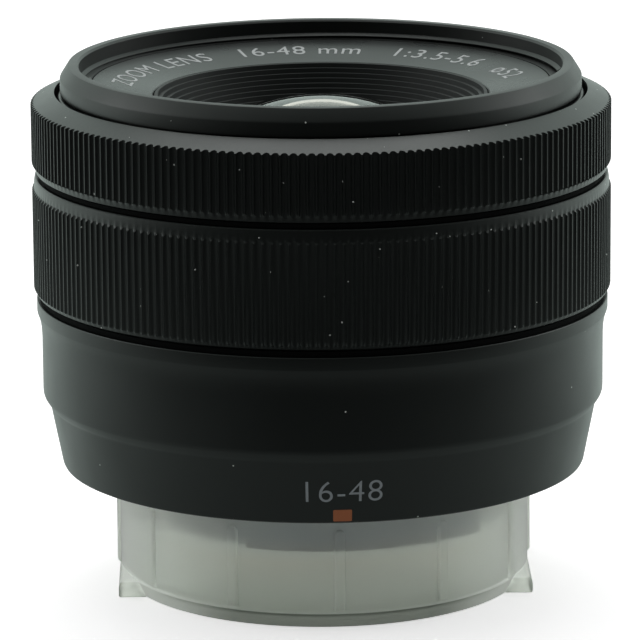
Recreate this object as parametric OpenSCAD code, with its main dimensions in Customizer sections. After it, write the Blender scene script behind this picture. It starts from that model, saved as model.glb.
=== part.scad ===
// Compact power zoom lens for a mirrorless camera, drawn collapsed and standing on its rear cap.
// Millimetres. The optical axis is Z with the front element up, and the mounting index faces -Y.

/* [Rear cap] */
// Height of the push-on rear cap
cap_h = 12.7; // [11:0.1:16]
// Wall of the rear cap
cap_wall = 1.25; // [0.8:0.05:1.5]
// Floor of the rear cap
cap_floor = 1.2; // [0.8:0.1:2]
// Radial clearance between the cap and the bayonet lugs
cap_fit = 0.15; // [0.1:0.05:0.4]
// Clearance between the cap and the mount flange
cap_gap = 0.3; // [0.2:0.05:0.8]
// Height of the base band of the cap
cap_band = 1.95; // [1.4:0.05:3]
// Draft of the base band
cap_draft = 0.85; // [0.3:0.05:1]
// Number of outer grip ribs on the cap
rib_n = 12; // [6:1:24]
// Radius of a half-round grip rib
rib_r = 0.6; // [0.4:0.05:0.9]
// How far a grip rib stands out of the wall
rib_out = 0.35; // [0.2:0.05:0.5]
// Reach of the two flat pull ears beyond the cap wall
ear_out = 0.1; // [0.05:0.05:1]
// Half width of a pull ear
ear_half = 9.2; // [6:0.1:12]
// Turn of the pull ears from the line square to the mounting index
ear_turn = -3.2; // [-10:0.1:10]

/* [Bayonet mount] */
// Distance of the mount screws from the edge of the flange
screw_in = 2.4; // [2:0.1:3]
// Thickness of the mount flange
flange_t = 1.6; // [1.2:0.1:2.4]
// How far the flange stands behind the rear barrel
flange_out = 0.3; // [0.1:0.05:0.6]
// Outer radius of the bayonet spigot
spigot_r = 19.7; // [19:0.1:20.5]
// Wall of the bayonet spigot
spigot_wall = 1.3; // [0.8:0.1:1.6]
// Depth of the bayonet behind the flange
spigot_len = 4.7; // [4:0.1:5.4]
// Radial height of a bayonet lug
lug_h = 1.25; // [0.8:0.05:1.6]
// Thickness of a bayonet lug
lug_t = 1.5; // [1:0.1:2]
// Angle covered by one of the three lugs
lug_deg = 74; // [50:1:80]
// Turn of the lugs from the mounting index
lug_turn = 10; // [-20:1:20]
// Number of electrical contacts
contact_n = 10; // [6:1:12]
// Radius of a contact pad
contact_r = 0.5; // [0.3:0.05:0.6]

/* [Rear barrel] */
// Height of the rear barrel
rear_h = 18.4; // [18:0.1:22]
// How far the collar under the zoom ring stays inside the rings
collar_in = 0.3; // [0.1:0.05:0.5]
// How far the plain middle of the rear barrel stays inside the rings
rear_in = 0.8; // [0.6:0.05:1]
// Step from the plain middle to the head of the lower taper
taper_step = 0.75; // [0.4:0.05:1]
// How far the lower taper draws in towards the foot
taper_run = 1.25; // [0.8:0.05:1.6]
// Wall of the foot round the mount flange
foot_wall = 1.8; // [1.5:0.05:2.4]
// Height of the lower taper above the foot
taper_h = 6.4; // [6:0.1:7]
// Thickness of the inner ledge that carries the optics
ledge_t = 1.4; // [1:0.1:2]

/* [Grip rings] */
// Radius over the ridges of both grip rings
ring_r = 31.3; // [31.1:0.05:32]
// Wall of the grip rings over the ridges
ring_wall = 1.1; // [1:0.05:1.4]
// Running clearance of the grip rings on the inner sleeve
ring_run = 0.1; // [0.08:0.01:0.15]
// Height of the zoom ring
zoom_h = 12.8; // [11:0.1:15]
// Height of the control ring
control_h = 8.4; // [8:0.1:11]
// Visible gap between the two rings
ring_gap = 0.65; // [0.5:0.05:1]
// Visible gap under the zoom ring
zoom_gap = 0.7; // [0.5:0.05:1]
// Number of flutes round each ring
flute_n = 210; // [180:1:220]
// Depth of a flute
flute_d = 0.32; // [0.2:0.01:0.36]
// Radius of a flute
flute_r = 0.34; // [0.3:0.01:0.36]
// Height of the cone on the front of the control ring
cone_h = 1.2; // [0.8:0.05:1.6]
// Turn of the zoom ring to either side
zoom_turn = 12; // [8:1:16]

/* [Front barrel] */
// Height of the front rim above the control ring
rim_out = 2.95; // [2.6:0.05:4]
// Wall of the rim outside the filter thread, which leaves a 52 mm thread
rim_wall = 2.45; // [2.3:0.05:2.6]
// Depth of the filter thread, rim to name ring
thread_h = 2.03; // [1.8:0.01:2.5]
// Ledge at the bottom of the filter thread, round the name ring
seat_step = 0.9; // [0.7:0.05:1.2]
// Fall of the name ring towards the glass
name_fall = 1.42; // [0.8:0.01:1.6]
// Thickness of the name ring at its inner edge
name_t = 0.45; // [0.3:0.05:0.6]
// Wall of the front cell round the name ring's opening
cell_wall = 1.4; // [1:0.05:1.8]
// Wall of the inner sleeve that the grip rings turn on
sleeve_wall = 1.2; // [0.9:0.05:1.3]
// Clearance between that sleeve and the middle barrel, filled by the dust seal
sleeve_gap = 0.5; // [0.4:0.05:0.7]
// Wall of the middle barrel
mid_wall = 0.8; // [0.6:0.05:0.9]
// Clearance between the middle barrel and the front barrel
slide_gap = 0.25; // [0.15:0.05:0.35]
// Wall of the front barrel's outer tube
front_wall = 0.9; // [0.7:0.05:1]
// How far the rim stays inside the middle barrel
rim_in = 0.3; // [0.2:0.05:0.5]
// Depth of the front element's edge below the rim
edge_sunk = 8.26; // [8:0.02:8.6]

/* [Zoom drive] */
// Travel of the front barrel
front_travel = 21; // [18:0.5:21]
// Travel of the middle barrel
mid_travel = 10.5; // [9:0.5:10.5]
// Travel of the middle lens group
group_travel = 6; // [5:0.25:6]
// Turn of the cam barrel over the whole zoom
cam_turn = 100; // [96:1:104]
// Radial depth from the grip rings to the bore of the cam barrel
drum_depth = 10.6; // [10.2:0.05:10.8]
// Wall of the cam barrel and the guide barrel
drum_wall = 0.9; // [0.7:0.05:1]
// Radial clearance between turning and sliding drums
drum_gap = 0.2; // [0.15:0.01:0.3]
// Radius of a follower pin
pin_r = 0.6; // [0.5:0.02:0.65]
// Clearance of a follower pin in its slot
pin_gap = 0.15; // [0.1:0.01:0.2]
// Module of the drive gears
gear_m = 0.4; // [0.4:0.01:0.42]
// Teeth of the motor's pinion
pinion_n = 12; // [10:1:13]
// Radius of the zoom motor
motor_r = 2; // [1.5:0.05:2.05]
// Room between the zoom motor and the foot of the front barrel
motor_gap = 0.4; // [0.3:0.05:2]

/* [Iris] */
// Number of iris blades
blade_n = 7; // [7:1:7]
// Radius of the open iris
iris_open = 6.4; // [5.5:0.1:6.8]
// Thickness of a blade
blade_t = 0.1; // [0.06:0.01:0.12]
// Radius of the circle of blade pivots
pivot_r = 11; // [10.8:0.05:11.2]
// Distance from a blade's pivot to its drive pin
blade_arm = 3; // [2.6:0.05:3.2]
// Turn of a blade from open to closed
blade_turn = 28; // [20:0.5:28]

/* [Glass] */
// How far the front element stays inside the name ring's opening
glass_in = 4.5; // [4:0.05:5]
// Front radius of curvature of the front element
front_curve = 23.4; // [22:0.1:30]
// Radius of the hollow behind the front element
bowl_curve = 12.5; // [12:0.1:14]
// Middle thickness of the front element
front_core = 1.7; // [1.5:0.05:2]
// Radius of the second element
second_r = 10; // [9.5:0.05:10.2]
// Curve of the second element's front
second_front = 40; // [35:0.5:50]
// Curve of the second element's hollow back
second_back = 30; // [28:0.5:40]
// Radius of the third element
third_r = 9.6; // [9:0.05:9.8]
// Curve of the third element's front
third_curve = 24; // [22:0.5:40]
// Radius of the fourth element
fourth_r = 7.5; // [7:0.05:7.8]
// Curve of the fourth element's front
fourth_curve = 22; // [20:0.5:40]
// Radius of the cemented pair
pair_r = 7.8; // [7:0.05:8]
// Curve of the cemented pair's front
pair_front = 30; // [25:0.5:40]
// Curve of the cemented face
pair_curve = 22; // [20:0.5:30]
// Radius of the shift element
shift_r = 7.2; // [6.8:0.05:7.4]
// Curve of the shift element's front
shift_curve = 34; // [28:0.5:50]
// Radius of the focus element
focus_r = 8; // [7:0.05:8.2]
// Curve of the focus element's hollow front
focus_curve = 40; // [34:0.5:60]
// Radius of the ninth element and the rear element
back_r = 9.4; // [9:0.05:9.6]
// Curve of the ninth element's front
ninth_curve = 35; // [30:0.5:60]
// Curve of the rear element's back
back_curve = 40; // [35:0.5:60]
// Radial play of an element in its seat
glass_fit = 0.05; // [0.03:0.01:0.08]

/* [Stabiliser and focus] */
// Distance from the edge of the cemented pair to the middle of a shift coil
coil_out = 3.4; // [3.2:0.05:3.6]
// Distance from the middle of a shift coil to its rail
rail_out = 2.8; // [2.7:0.05:3]
// Distance of the guide rods and the lead screw from the axis
rod_c = 14.5; // [14.2:0.05:14.6]
// Travel of the focus group
focus_travel = 3; // [2:0.1:3.4]
// Radius of the two guide rods
rod_r = 0.75; // [0.5:0.05:0.9]
// Radius of the lead screw
screw_r = 0.6; // [0.4:0.05:0.7]

/* [Hidden] */
$fn = 96;
collar_r = ring_r - collar_in;
rear_r = ring_r - rear_in;
taper_r = rear_r - taper_step;
foot_r = taper_r - taper_run;
flange_r = foot_r - foot_wall;
screw_c = flange_r - screw_in;
ledge_r = screw_c - 2.3;
spigot_in = spigot_r - spigot_wall;
contact_c = spigot_in - 1.3;
lug_r = spigot_r + lug_h;
cap_in = lug_r + cap_fit;
cap_r = cap_in + cap_wall;
flange_z = cap_h + cap_gap;
ledge_z = flange_z + flange_t;
rear_z = flange_z + flange_out;
rear_top = rear_z + rear_h;
zoom_z = rear_top + zoom_gap;
zoom_top = zoom_z + zoom_h;
control_z = zoom_top + ring_gap;
control_top = control_z + control_h;
rim_z = control_top + rim_out;
name_z = rim_z - thread_h;
cell_z = name_z - name_fall - name_t;
cell_t = 0.6;
web_t = 0.7;
web_z = cell_z - cell_t - web_t;

ring_in = ring_r - ring_wall;
sleeve_r = ring_in - ring_run;
sleeve_in = sleeve_r - sleeve_wall;
mid_r = sleeve_in - sleeve_gap;
mid_in = mid_r - mid_wall;
front_r = mid_in - slide_gap;
front_in = front_r - front_wall;
rim_r = mid_r - rim_in;
thread_r = rim_r - rim_wall;
seat_r = thread_r - seat_step;
boss_c = sleeve_r - 2.9;
lip_r = mid_r + 0.35;
lip_z = control_top - cone_h - 0.25;
sleeve_top = lip_z - 0.3;
flute_c = ring_r - flute_d + flute_r;

cam_bore = ring_r - drum_depth;
cam_r = cam_bore + drum_wall;
guide_in = cam_r + drum_gap;
guide_r = guide_in + drum_wall;
inner_in = guide_r + drum_gap;
inner_r = inner_in + 1;
ring_n = round(2 * (cam_r + 0.8) / gear_m);
axis_r = (ring_n + pinion_n) * gear_m / 2;
ring_add = 0.7 * gear_m;
motor_a = 200;

plate_z = ledge_z + ledge_t;
plate_t = 0.9;
cam_z = plate_z + plate_t + 0.3;
gear_h = 2.5;
guide_z = cam_z + gear_h + 0.3;
guide_t = 1.2;
skirt_z = guide_z + guide_t;
guide_top = web_z - 0.3;
cam_top = guide_top - 0.3;
front_pin_z = guide_top - 0.8 - pin_r - front_travel;
mid_pin_z = front_pin_z + 4.2;
group_pin_z = front_pin_z - 5.3;
front_foot = front_pin_z - pin_r - 0.4;
motor_h = front_foot - motor_gap - skirt_z;
front_a = 0;
group_a = 40;
mid_a = 80;

group_z = group_pin_z - 1;
deck_z = group_pin_z + 9.4;
deck_t = 1;
iris_z = deck_z + deck_t;
blade_z = iris_z + 0.8;
blade_step = blade_t + 0.08;
iris_ring_z = blade_z + blade_n * blade_step + 0.14;
iris_wall_h = iris_ring_z + 0.8 + 0.3 - iris_z;
cover_z = iris_z + iris_wall_h;
drive_r = pivot_r + blade_arm;
iris_r = drive_r + 2.2;
shift_z = deck_z - 6.2;
focus_z = cam_z + 3.4;
coil_c = pair_r + coil_out;
rail_c = coil_c + rail_out;
rail_shoe_x = cam_bore - 13.7;
rail_z = deck_z - 2.4;
carriage_x = shift_r + 6.2;
carriage_y = rail_c + 1.4;
cheek_t = 1.2;
cell_gap = 1.3;
cell_r = cam_bore - cell_gap;
cell_in = cell_r - cell_wall;
name_r = cell_in + 0.1;
front_glass_r = name_r - glass_in;
cell_screw_c = inner_r - 0.5;

// A ring or tube: outer radius, inner radius, foot and head
module tube(r, bore, z0, z1) {
  translate([0, 0, z0])
    difference() {
      cylinder(r = r, h = z1 - z0);
      translate([0, 0, -1])
        cylinder(r = bore, h = z1 - z0 + 2);
    }
}

// A plain disc or rod standing at a radius and an angle
module post(r, at, a, z0, z1) {
  rotate(a)
    translate([at, 0, z0])
      cylinder(r = r, h = z1 - z0, $fn = 32);
}

// A round pin that lies along a radius
module spoke(r, a, r0, r1, z) {
  rotate(a)
    translate([r0, 0, z])
      rotate([0, 90, 0])
        cylinder(r = r, h = r1 - r0, $fn = 32);
}

// Part of a turned ring: rectangle r0..r1, z0..z1 swept over an angle
module arc(r0, r1, z0, z1, a0, a1) {
  rotate(a0)
    rotate_extrude(angle = a1 - a0)
      translate([r0, z0])
        square([r1 - r0, z1 - z0]);
}

function sag(curve, r) = curve - sqrt(curve * curve - r * r);

// A lens element between edge heights zb and zt. Curves over zero bulge and under zero hollow
module element(r, zb, zt, top, bot) {
  up = top > 0 ? sag(top, r) : 0;
  down = bot > 0 ? sag(bot, r) : 0;
  difference() {
    translate([0, 0, zb - down])
      cylinder(r = r, h = zt - zb + up + down);
    if (top > 0)
      difference() {
        translate([0, 0, zt])
          cylinder(r = r + 1, h = up + 1);
        translate([0, 0, zt + up - top])
          sphere(r = top, $fn = 200);
      }
    if (top < 0)
      translate([0, 0, zt - sag(-top, r) - top])
        sphere(r = -top, $fn = 200);
    if (bot > 0)
      difference() {
        translate([0, 0, zb - down - 1])
          cylinder(r = r + 1, h = down + 1);
        translate([0, 0, zb - down + bot])
          sphere(r = bot, $fn = 200);
      }
    if (bot < 0)
      translate([0, 0, zb + sag(-bot, r) + bot])
        sphere(r = -bot, $fn = 200);
  }
}

// Involute tooth outline: half angle of a tooth at radius r
function roll(r, base) = r <= base ? 0 : tan(acos(base / r)) * 180 / PI - acos(base / r);
function half_tooth(r, n, slack) =
  90 / n - slack / (n * gear_m) * 180 / PI + roll(n * gear_m / 2, n * gear_m / 2 * cos(20))
  - roll(r, n * gear_m / 2 * cos(20));
function ray(r, a) = [r * cos(a), r * sin(a)];
function tooth(n, root, tip, slack, a) = [
  for (k = [0:4]) ray(root + (tip - root) * k / 4, a - half_tooth(root + (tip - root) * k / 4, n, slack)),
  for (k = [4:-1:0]) ray(root + (tip - root) * k / 4, a + half_tooth(root + (tip - root) * k / 4, n, slack))];

// A cam slot: a band one pin high, cut through the drum along a helix
module cam_slot(a, z, rise) {
  steps = 12;
  r0 = cam_bore - 1;
  r1 = cam_r + 1;
  pitch = rise / (cam_turn * PI / 180 * (cam_bore + cam_r) / 2);
  half = (pin_r + pin_gap) * sqrt(1 + pitch * pitch);
  over = (pin_r + pin_gap) / cam_bore * 180 / PI;
  span = cam_turn + 2 * over;
  ring = [for (i = [0:steps]) let (t = a + over - span * i / steps, h = z + rise * (a - t) / cam_turn)
    [[r0 * cos(t), r0 * sin(t), h - half], [r1 * cos(t), r1 * sin(t), h - half],
     [r1 * cos(t), r1 * sin(t), h + half], [r0 * cos(t), r0 * sin(t), h + half]]];
  points = [for (q = ring) each q];
  sides = [for (i = [0:steps - 1], k = [0:3]) let (p = 4 * i + k, q = 4 * i + (k + 1) % 4)
    each [[p, p + 4, q + 4], [p, q + 4, q]]];
  last = 4 * steps;
  polyhedron(points, concat([[0, 1, 2], [0, 2, 3]], sides,
    [[last, last + 2, last + 1], [last, last + 3, last + 2]]), convexity = 4);
}

// A straight guide slot through the guide barrel
module guide_slot(a, z, rise) {
  rotate(a)
    translate([guide_in - 1, -pin_r - pin_gap, z - pin_r - pin_gap])
      cube([drum_wall + 2, 2 * (pin_r + pin_gap), rise + 2 * (pin_r + pin_gap)]);
}

// The fluted band of a grip ring: a round outline with half-round notches, drawn upwards
module fluted_band(z0, z1) {
  translate([0, 0, z0])
    linear_extrude(z1 - z0)
      difference() {
        circle(r = ring_r, $fn = 420);
        circle(r = ring_in, $fn = 420);
        for (i = [0:flute_n - 1])
          rotate(i * 360 / flute_n)
            translate([flute_c, 0])
              circle(r = flute_r, $fn = 32);
      }
}

module rear_cap() {
  color([0.86, 0.88, 0.85])
    difference() {
      union() {
        rotate_extrude()
          polygon([[0, 0], [cap_r - cap_draft, 0], [cap_r, cap_band], [cap_r, cap_h], [0, cap_h]]);
        for (i = [0:rib_n - 1])
          rotate(i * 360 / rib_n - 90)
            translate([cap_r + rib_out - rib_r, 0, cap_band - 0.4]) {
              cylinder(r = rib_r, h = 9.4 - rib_r, $fn = 24);
              translate([0, 0, 9.4 - rib_r])
                sphere(r = rib_r, $fn = 24);
            }
        intersection() {
          cylinder(r = cap_r + 1.75, h = cap_band);
          rotate(ear_turn)
            translate([-cap_r - ear_out, -ear_half, 0])
              cube([2 * (cap_r + ear_out), 2 * ear_half, cap_band]);
        }
      }
      translate([0, 0, cap_floor])
        cylinder(r = cap_in, h = cap_h);
    }
}

module bayonet_mount() {
  color([0.16, 0.17, 0.17])
    difference() {
      union() {
        cylinder_z(flange_r, flange_z, ledge_z);
        cylinder_z(spigot_r, flange_z - spigot_len, flange_z + 0.1);
        for (i = [0:2])
          arc(spigot_r - 0.2, lug_r, flange_z - spigot_len, flange_z - spigot_len + lug_t,
            120 * i - 90 + lug_turn - lug_deg / 2, 120 * i - 90 + lug_turn + lug_deg / 2);
      }
      cylinder_z(spigot_in, flange_z - spigot_len - 1, ledge_z + 1);
      for (i = [0:2]) {
        post(0.7, screw_c, 120 * i + 30, flange_z - 1, ledge_z + 1);
        post(1.25, screw_c, 120 * i + 30, flange_z - 1, flange_z + 0.8);
      }
    }
}

// A plain solid cylinder between two heights
module cylinder_z(r, z0, z1) {
  translate([0, 0, z0])
    cylinder(r = r, h = z1 - z0);
}

module mount_screws() {
  color([0.55, 0.56, 0.56])
    for (i = [0:2])
      difference() {
        union() {
          post(1.2, screw_c, 120 * i + 30, flange_z + 0.05, flange_z + 0.8);
          post(0.65, screw_c, 120 * i + 30, flange_z + 0.7, plate_z - 0.1);
        }
        rotate(120 * i + 30)
          translate([screw_c, 0, flange_z + 0.2]) {
            cube([1.5, 0.3, 0.6], center = true);
            cube([0.3, 1.5, 0.6], center = true);
          }
      }
}

module contact_block() {
  color([0.08, 0.08, 0.08])
    arc(contact_c - 1.1, spigot_in - 0.2, flange_z - spigot_len + 0.9, flange_z + 0.2, 55, 125);
}

module contact_pins() {
  color([0.83, 0.68, 0.35])
    for (i = [0:contact_n - 1])
      post(contact_r, contact_c, 90 + (i - (contact_n - 1) / 2) * 6,
        flange_z - spigot_len + 0.6, flange_z - spigot_len + 0.9);
}

module rear_baffle() {
  color([0.07, 0.07, 0.07])
    rotate_extrude()
      polygon([[back_r + 1.5, flange_z - 3.6], [back_r + 2.3, flange_z - 3.6], [back_r + 3.2, flange_z + 0.3],
        [spigot_in - 0.2, flange_z + 0.3], [spigot_in - 0.2, flange_z + 1.4], [back_r + 1.5, flange_z + 1.4]]);
}

module main_board() {
  color([0.1, 0.32, 0.2]) {
    difference() {
      tube(ledge_r - 0.6, back_r + 1.6, plate_z - 1, plate_z);
      rotate(-60)
        translate([0, -4, plate_z - 2])
          cube([30, 8, 3]);
    }
    for (i = [0:4])
      arc(back_r + 4.1, spigot_in - 0.4, ledge_z + 0.1, plate_z - 0.9, 20 + 50 * i, 44 + 50 * i);
  }
}

module rear_barrel() {
  foot_z = rear_z + 0.4;
  head_z = foot_z + taper_h;
  color([0.11, 0.12, 0.12])
    difference() {
      rotate_extrude()
        polygon([[flange_r + 0.1, rear_z], [foot_r - 0.4, rear_z], [foot_r, foot_z], [taper_r, head_z],
          [rear_r - 0.1, head_z + 1], [rear_r, head_z + 1.5], [rear_r, rear_top - 3.4],
          [collar_r - 0.05, rear_top - 1.4], [collar_r, rear_top - 0.3], [collar_r - 0.3, rear_top],
          [sleeve_r - 0.8, rear_top], [sleeve_r - 0.8, skirt_z], [sleeve_r - 1.3, skirt_z],
          [sleeve_r - 1.3, guide_z - 1.1], [sleeve_r - 2.2, guide_z - 1.5], [sleeve_r - 2.2, plate_z],
          [ledge_r, plate_z], [ledge_r, ledge_z], [flange_r + 0.1, ledge_z]]);
      for (i = [0:2])
        post(0.7, screw_c, 120 * i + 30, ledge_z - 1, plate_z + 1);
    }
}

module rear_frame() {
  color([0.09, 0.09, 0.09])
    difference() {
      union() {
        tube(sleeve_r - 3.6, back_r + 0.6, plate_z, plate_z + plate_t);
        for (a = [90, 270])
          post(rod_r + 0.8, rod_c, a, plate_z, plate_z + 2.8);
        rotate_extrude()
          polygon([[back_r - 0.6, plate_z - 4.7], [back_r + glass_fit, plate_z - 4.7],
            [back_r + glass_fit, plate_z - 6.8], [back_r + 1.4, plate_z - 6.8], [back_r + 1.4, plate_z + 3.2],
            [back_r + glass_fit, plate_z + 3.2], [back_r + glass_fit, plate_z + 0.6],
            [back_r - 0.6, plate_z + 0.6]]);
      }
      for (a = [90, 270])
        post(rod_r + 0.02, rod_c, a, plate_z + 0.2, plate_z + 4);
    }
}

module ninth_element() {
  color([0.75, 0.83, 0.82, 0.6])
    element(back_r, plate_z + 0.6, plate_z + 2.2, ninth_curve, 0);
}

module rear_element() {
  color([0.75, 0.83, 0.82, 0.6])
    element(back_r, plate_z - 6.3, plate_z - 4.7, 0, back_curve);
}

module guide_rods() {
  color([0.72, 0.73, 0.74])
    for (a = [90, 270])
      post(rod_r, rod_c, a, plate_z + 0.2, focus_z + 2 + focus_travel + 0.5);
}

module focus_motor() {
  color([0.6, 0.61, 0.62])
    difference() {
      union() {
        post(3, rod_c, 180, plate_z + plate_t, focus_z - 0.3);
        post(1.2, rod_c, 180, focus_z - 0.4, focus_z - 0.1);
      }
      post(screw_r + 0.05, rod_c, 180, plate_z + plate_t + 1.2, focus_z + 1);
    }
}

module fixed_barrel() {
  color([0.2, 0.2, 0.2])
    difference() {
      union() {
        rotate_extrude()
          polygon([[sleeve_r - 2.1, skirt_z], [sleeve_r - 0.9, skirt_z], [sleeve_r - 0.9, rear_top],
            [sleeve_r, rear_top], [sleeve_r, sleeve_top], [sleeve_in, sleeve_top],
            [sleeve_in, rear_top + 0.6], [sleeve_r - 2.1, rear_top + 0.2]]);
        for (i = [0:2])
          post(1.3, boss_c, 120 * i + 90, skirt_z, skirt_z + 2.8);
      }
      for (i = [0:2])
        post(0.6, boss_c, 120 * i + 90, skirt_z - 1, skirt_z + 2.3);
      arc(sleeve_in - 1, sleeve_r + 1, zoom_z + 1.6, zoom_z + 4.4, 60, 120);
      arc(sleeve_r - 0.4, sleeve_r + 1, control_z + 3.0, control_z + 3.6, 0, 360);
    }
}

module guide_barrel() {
  color([0.24, 0.24, 0.24])
    difference() {
      union() {
        tube(sleeve_r - 1.5, guide_in, guide_z, skirt_z);
        tube(guide_r, guide_in, guide_z, guide_top);
      }
      for (i = [0:2]) {
        guide_slot(front_a + 120 * i, front_pin_z, front_travel);
        guide_slot(mid_a + 120 * i, mid_pin_z, mid_travel);
        guide_slot(group_a + 120 * i, group_pin_z, group_travel);
        post(0.7, boss_c, 120 * i + 90, guide_z - 1, skirt_z + 1);
      }
      post(1, axis_r, motor_a, guide_z - 1, skirt_z + 1);
    }
}

module guide_screws() {
  color([0.5, 0.51, 0.52])
    for (i = [0:2]) {
      post(1.1, boss_c, 120 * i + 90, guide_z - 0.6, guide_z);
      post(0.58, boss_c, 120 * i + 90, guide_z - 0.1, skirt_z + 2.2);
    }
}

module zoom_motor() {
  color([0.62, 0.63, 0.64]) {
    post(motor_r, axis_r, motor_a, skirt_z, skirt_z + motor_h * 0.4);
    post(motor_r - 0.1, axis_r, motor_a, skirt_z + motor_h * 0.4 - 0.1, skirt_z + motor_h);
  }
}

module ring_washers() {
  color([0.05, 0.05, 0.05]) {
    tube(sleeve_r + 0.55, sleeve_r + 0.04, rear_top + 0.05, zoom_z - 0.1);
    tube(sleeve_r + 0.55, sleeve_r + 0.04, zoom_top + 0.1, control_z - 0.1);
  }
}

module control_ring_clip() {
  color([0.6, 0.61, 0.62])
    arc(sleeve_r - 0.35, sleeve_r + 0.3, control_z + 3.1, control_z + 3.5, 10, 350);
}

module dust_seal() {
  color([0.04, 0.04, 0.04])
    tube(sleeve_in - 0.02, mid_r + 0.08, sleeve_top - 1.6, sleeve_top - 0.3);
}

module return_springs() {
  color([0.7, 0.71, 0.72])
    for (a = [60.3, 92.6])
      rotate(a)
        rotate_extrude(angle = 27.1)
          translate([(sleeve_in + sleeve_r) / 2, zoom_z + 3])
            circle(r = 0.45, $fn = 24);
}

module zoom_ring() {
  color([0.12, 0.13, 0.13]) {
    fluted_band(zoom_z + 0.7, zoom_top - 1.2);
    rotate_extrude()
      polygon([[ring_in, zoom_z], [ring_r - 0.3, zoom_z], [ring_r - 0.25, zoom_z + 0.7], [ring_in, zoom_z + 0.7]]);
    rotate_extrude()
      polygon([[ring_in, zoom_top - 1.2], [ring_r - 0.16, zoom_top - 1.2], [ring_r - 0.3, zoom_top - 0.15],
        [ring_r - 0.45, zoom_top], [ring_in, zoom_top]]);
    arc(sleeve_in + 0.15, ring_in + 0.2, zoom_z + 2, zoom_z + 4, 88, 92);
  }
}

module control_ring() {
  color([0.12, 0.13, 0.13])
    difference() {
      union() {
        intersection() {
          fluted_band(control_z + 0.8, control_top);
          rotate_extrude()
            polygon([[0, control_z], [ring_r + 1, control_z], [ring_r + 1, control_top - cone_h - 0.4],
              [ring_r, control_top - cone_h], [lip_r, control_top], [0, control_top]]);
        }
        rotate_extrude()
          polygon([[ring_in, control_z], [ring_r - 0.35, control_z], [ring_r - 0.3, control_z + 0.8],
            [ring_in, control_z + 0.8]]);
        rotate_extrude()
          polygon([[lip_r, lip_z], [ring_in, lip_z], [ring_in, control_top - cone_h * (ring_in - lip_r)
            / (ring_r - lip_r)], [lip_r, control_top]]);
      }
      arc(ring_in - 1, ring_in + 0.25, control_z + 2.95, control_z + 3.65, 0, 360);
    }
}

module cam_barrel() {
  root = ring_n * gear_m / 2 - 1.25 * gear_m;
  tip = ring_n * gear_m / 2 + ring_add;
  half_n = ceil((cam_turn / 2 + 8) * ring_n / 360);
  mid = motor_a - cam_turn / 2;
  near = round((mid - motor_a) * ring_n / 360);
  color([0.3, 0.3, 0.31])
    difference() {
      union() {
        tube(cam_r, cam_bore, cam_z, cam_top);
        tube(root + 0.05, cam_bore, cam_z, cam_z + gear_h);
        translate([0, 0, cam_z])
          linear_extrude(gear_h)
            polygon(concat(
              [for (k = [-half_n:half_n])
                each tooth(ring_n, root, tip, 0.06, motor_a + (k + near) * 360 / ring_n)],
              [for (k = [half_n:-1:-half_n]) ray(cam_r - 0.3, motor_a + (k + near) * 360 / ring_n)]));
      }
      for (i = [0:2]) {
        cam_slot(front_a + 120 * i, front_pin_z, front_travel);
        cam_slot(mid_a + 120 * i, mid_pin_z, mid_travel);
        cam_slot(group_a + 120 * i, group_pin_z, group_travel);
      }
    }
}

module drive_pinion() {
  root = pinion_n * gear_m / 2 - ring_add - 0.12;
  tip = pinion_n * gear_m / 2 + gear_m;
  color([0.8, 0.68, 0.38])
    rotate(motor_a)
      translate([axis_r, 0, 0]) {
        translate([0, 0, cam_z + 0.1])
          linear_extrude(gear_h - 0.2)
            polygon([for (k = [0:pinion_n - 1])
              each tooth(pinion_n, root, tip, 0.06, 180 + (k + 0.5) * 360 / pinion_n)]);
        cylinder_z(0.5, cam_z + 0.1, skirt_z - 0.05);
      }
}

module mid_barrel() {
  color([0.15, 0.16, 0.16])
    difference() {
      rotate_extrude()
        polygon([[mid_in, mid_pin_z - 0.95], [mid_r, mid_pin_z - 0.95], [mid_r, control_top - 0.6],
          [mid_r - 0.2, control_top - 0.35], [mid_in, control_top - 0.35]]);
      for (i = [0:2])
        spoke(pin_r + 0.02, mid_a + 120 * i, mid_in - 1, mid_r + 1, mid_pin_z);
    }
}

module mid_pins() {
  color([0.75, 0.76, 0.77])
    for (i = [0:2])
      spoke(pin_r, mid_a + 120 * i, cam_bore + 0.2, mid_r - 0.1, mid_pin_z);
}

module front_barrel() {
  color([0.1, 0.11, 0.11])
    difference() {
      rotate_extrude()
        polygon([[inner_in, front_foot], [inner_r, front_foot], [inner_r, web_z], [front_in, web_z],
          [front_in, front_foot + 1], [front_r, front_foot + 1], [front_r, control_top - 0.05],
          [rim_r, control_top - 0.05],
          [rim_r, rim_z - 1.35], [rim_r - 0.87, rim_z], [thread_r + 0.55, rim_z], [thread_r, rim_z - 0.5],
          [thread_r, name_z], [seat_r, name_z], [seat_r, cell_z - cell_t],
          [inner_in, cell_z - cell_t]]);
      for (i = [0:2]) {
        rotate(mid_a + 120 * i)
          translate([inner_in - 1, -0.8, front_foot - 1])
            cube([front_r - inner_in + 2, 1.6, mid_pin_z + 0.8 - front_foot + 1]);
        spoke(pin_r + 0.02, front_a + 120 * i, inner_in - 1, inner_r + 1, front_pin_z);
        post(0.5, cell_screw_c, 60 + 120 * i, web_z - 1.5, web_z + 3);
      }
    }
}

module front_pins() {
  color([0.75, 0.76, 0.77])
    for (i = [0:2])
      spoke(pin_r, front_a + 120 * i, cam_bore + 0.2, inner_r - 0.1, front_pin_z);
}

// Edge and top of the front element, and the seat behind it
front_edge = rim_z - edge_sunk;
front_top = front_edge + sag(front_curve, front_glass_r);
group_one = front_edge - 2.9;

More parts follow.
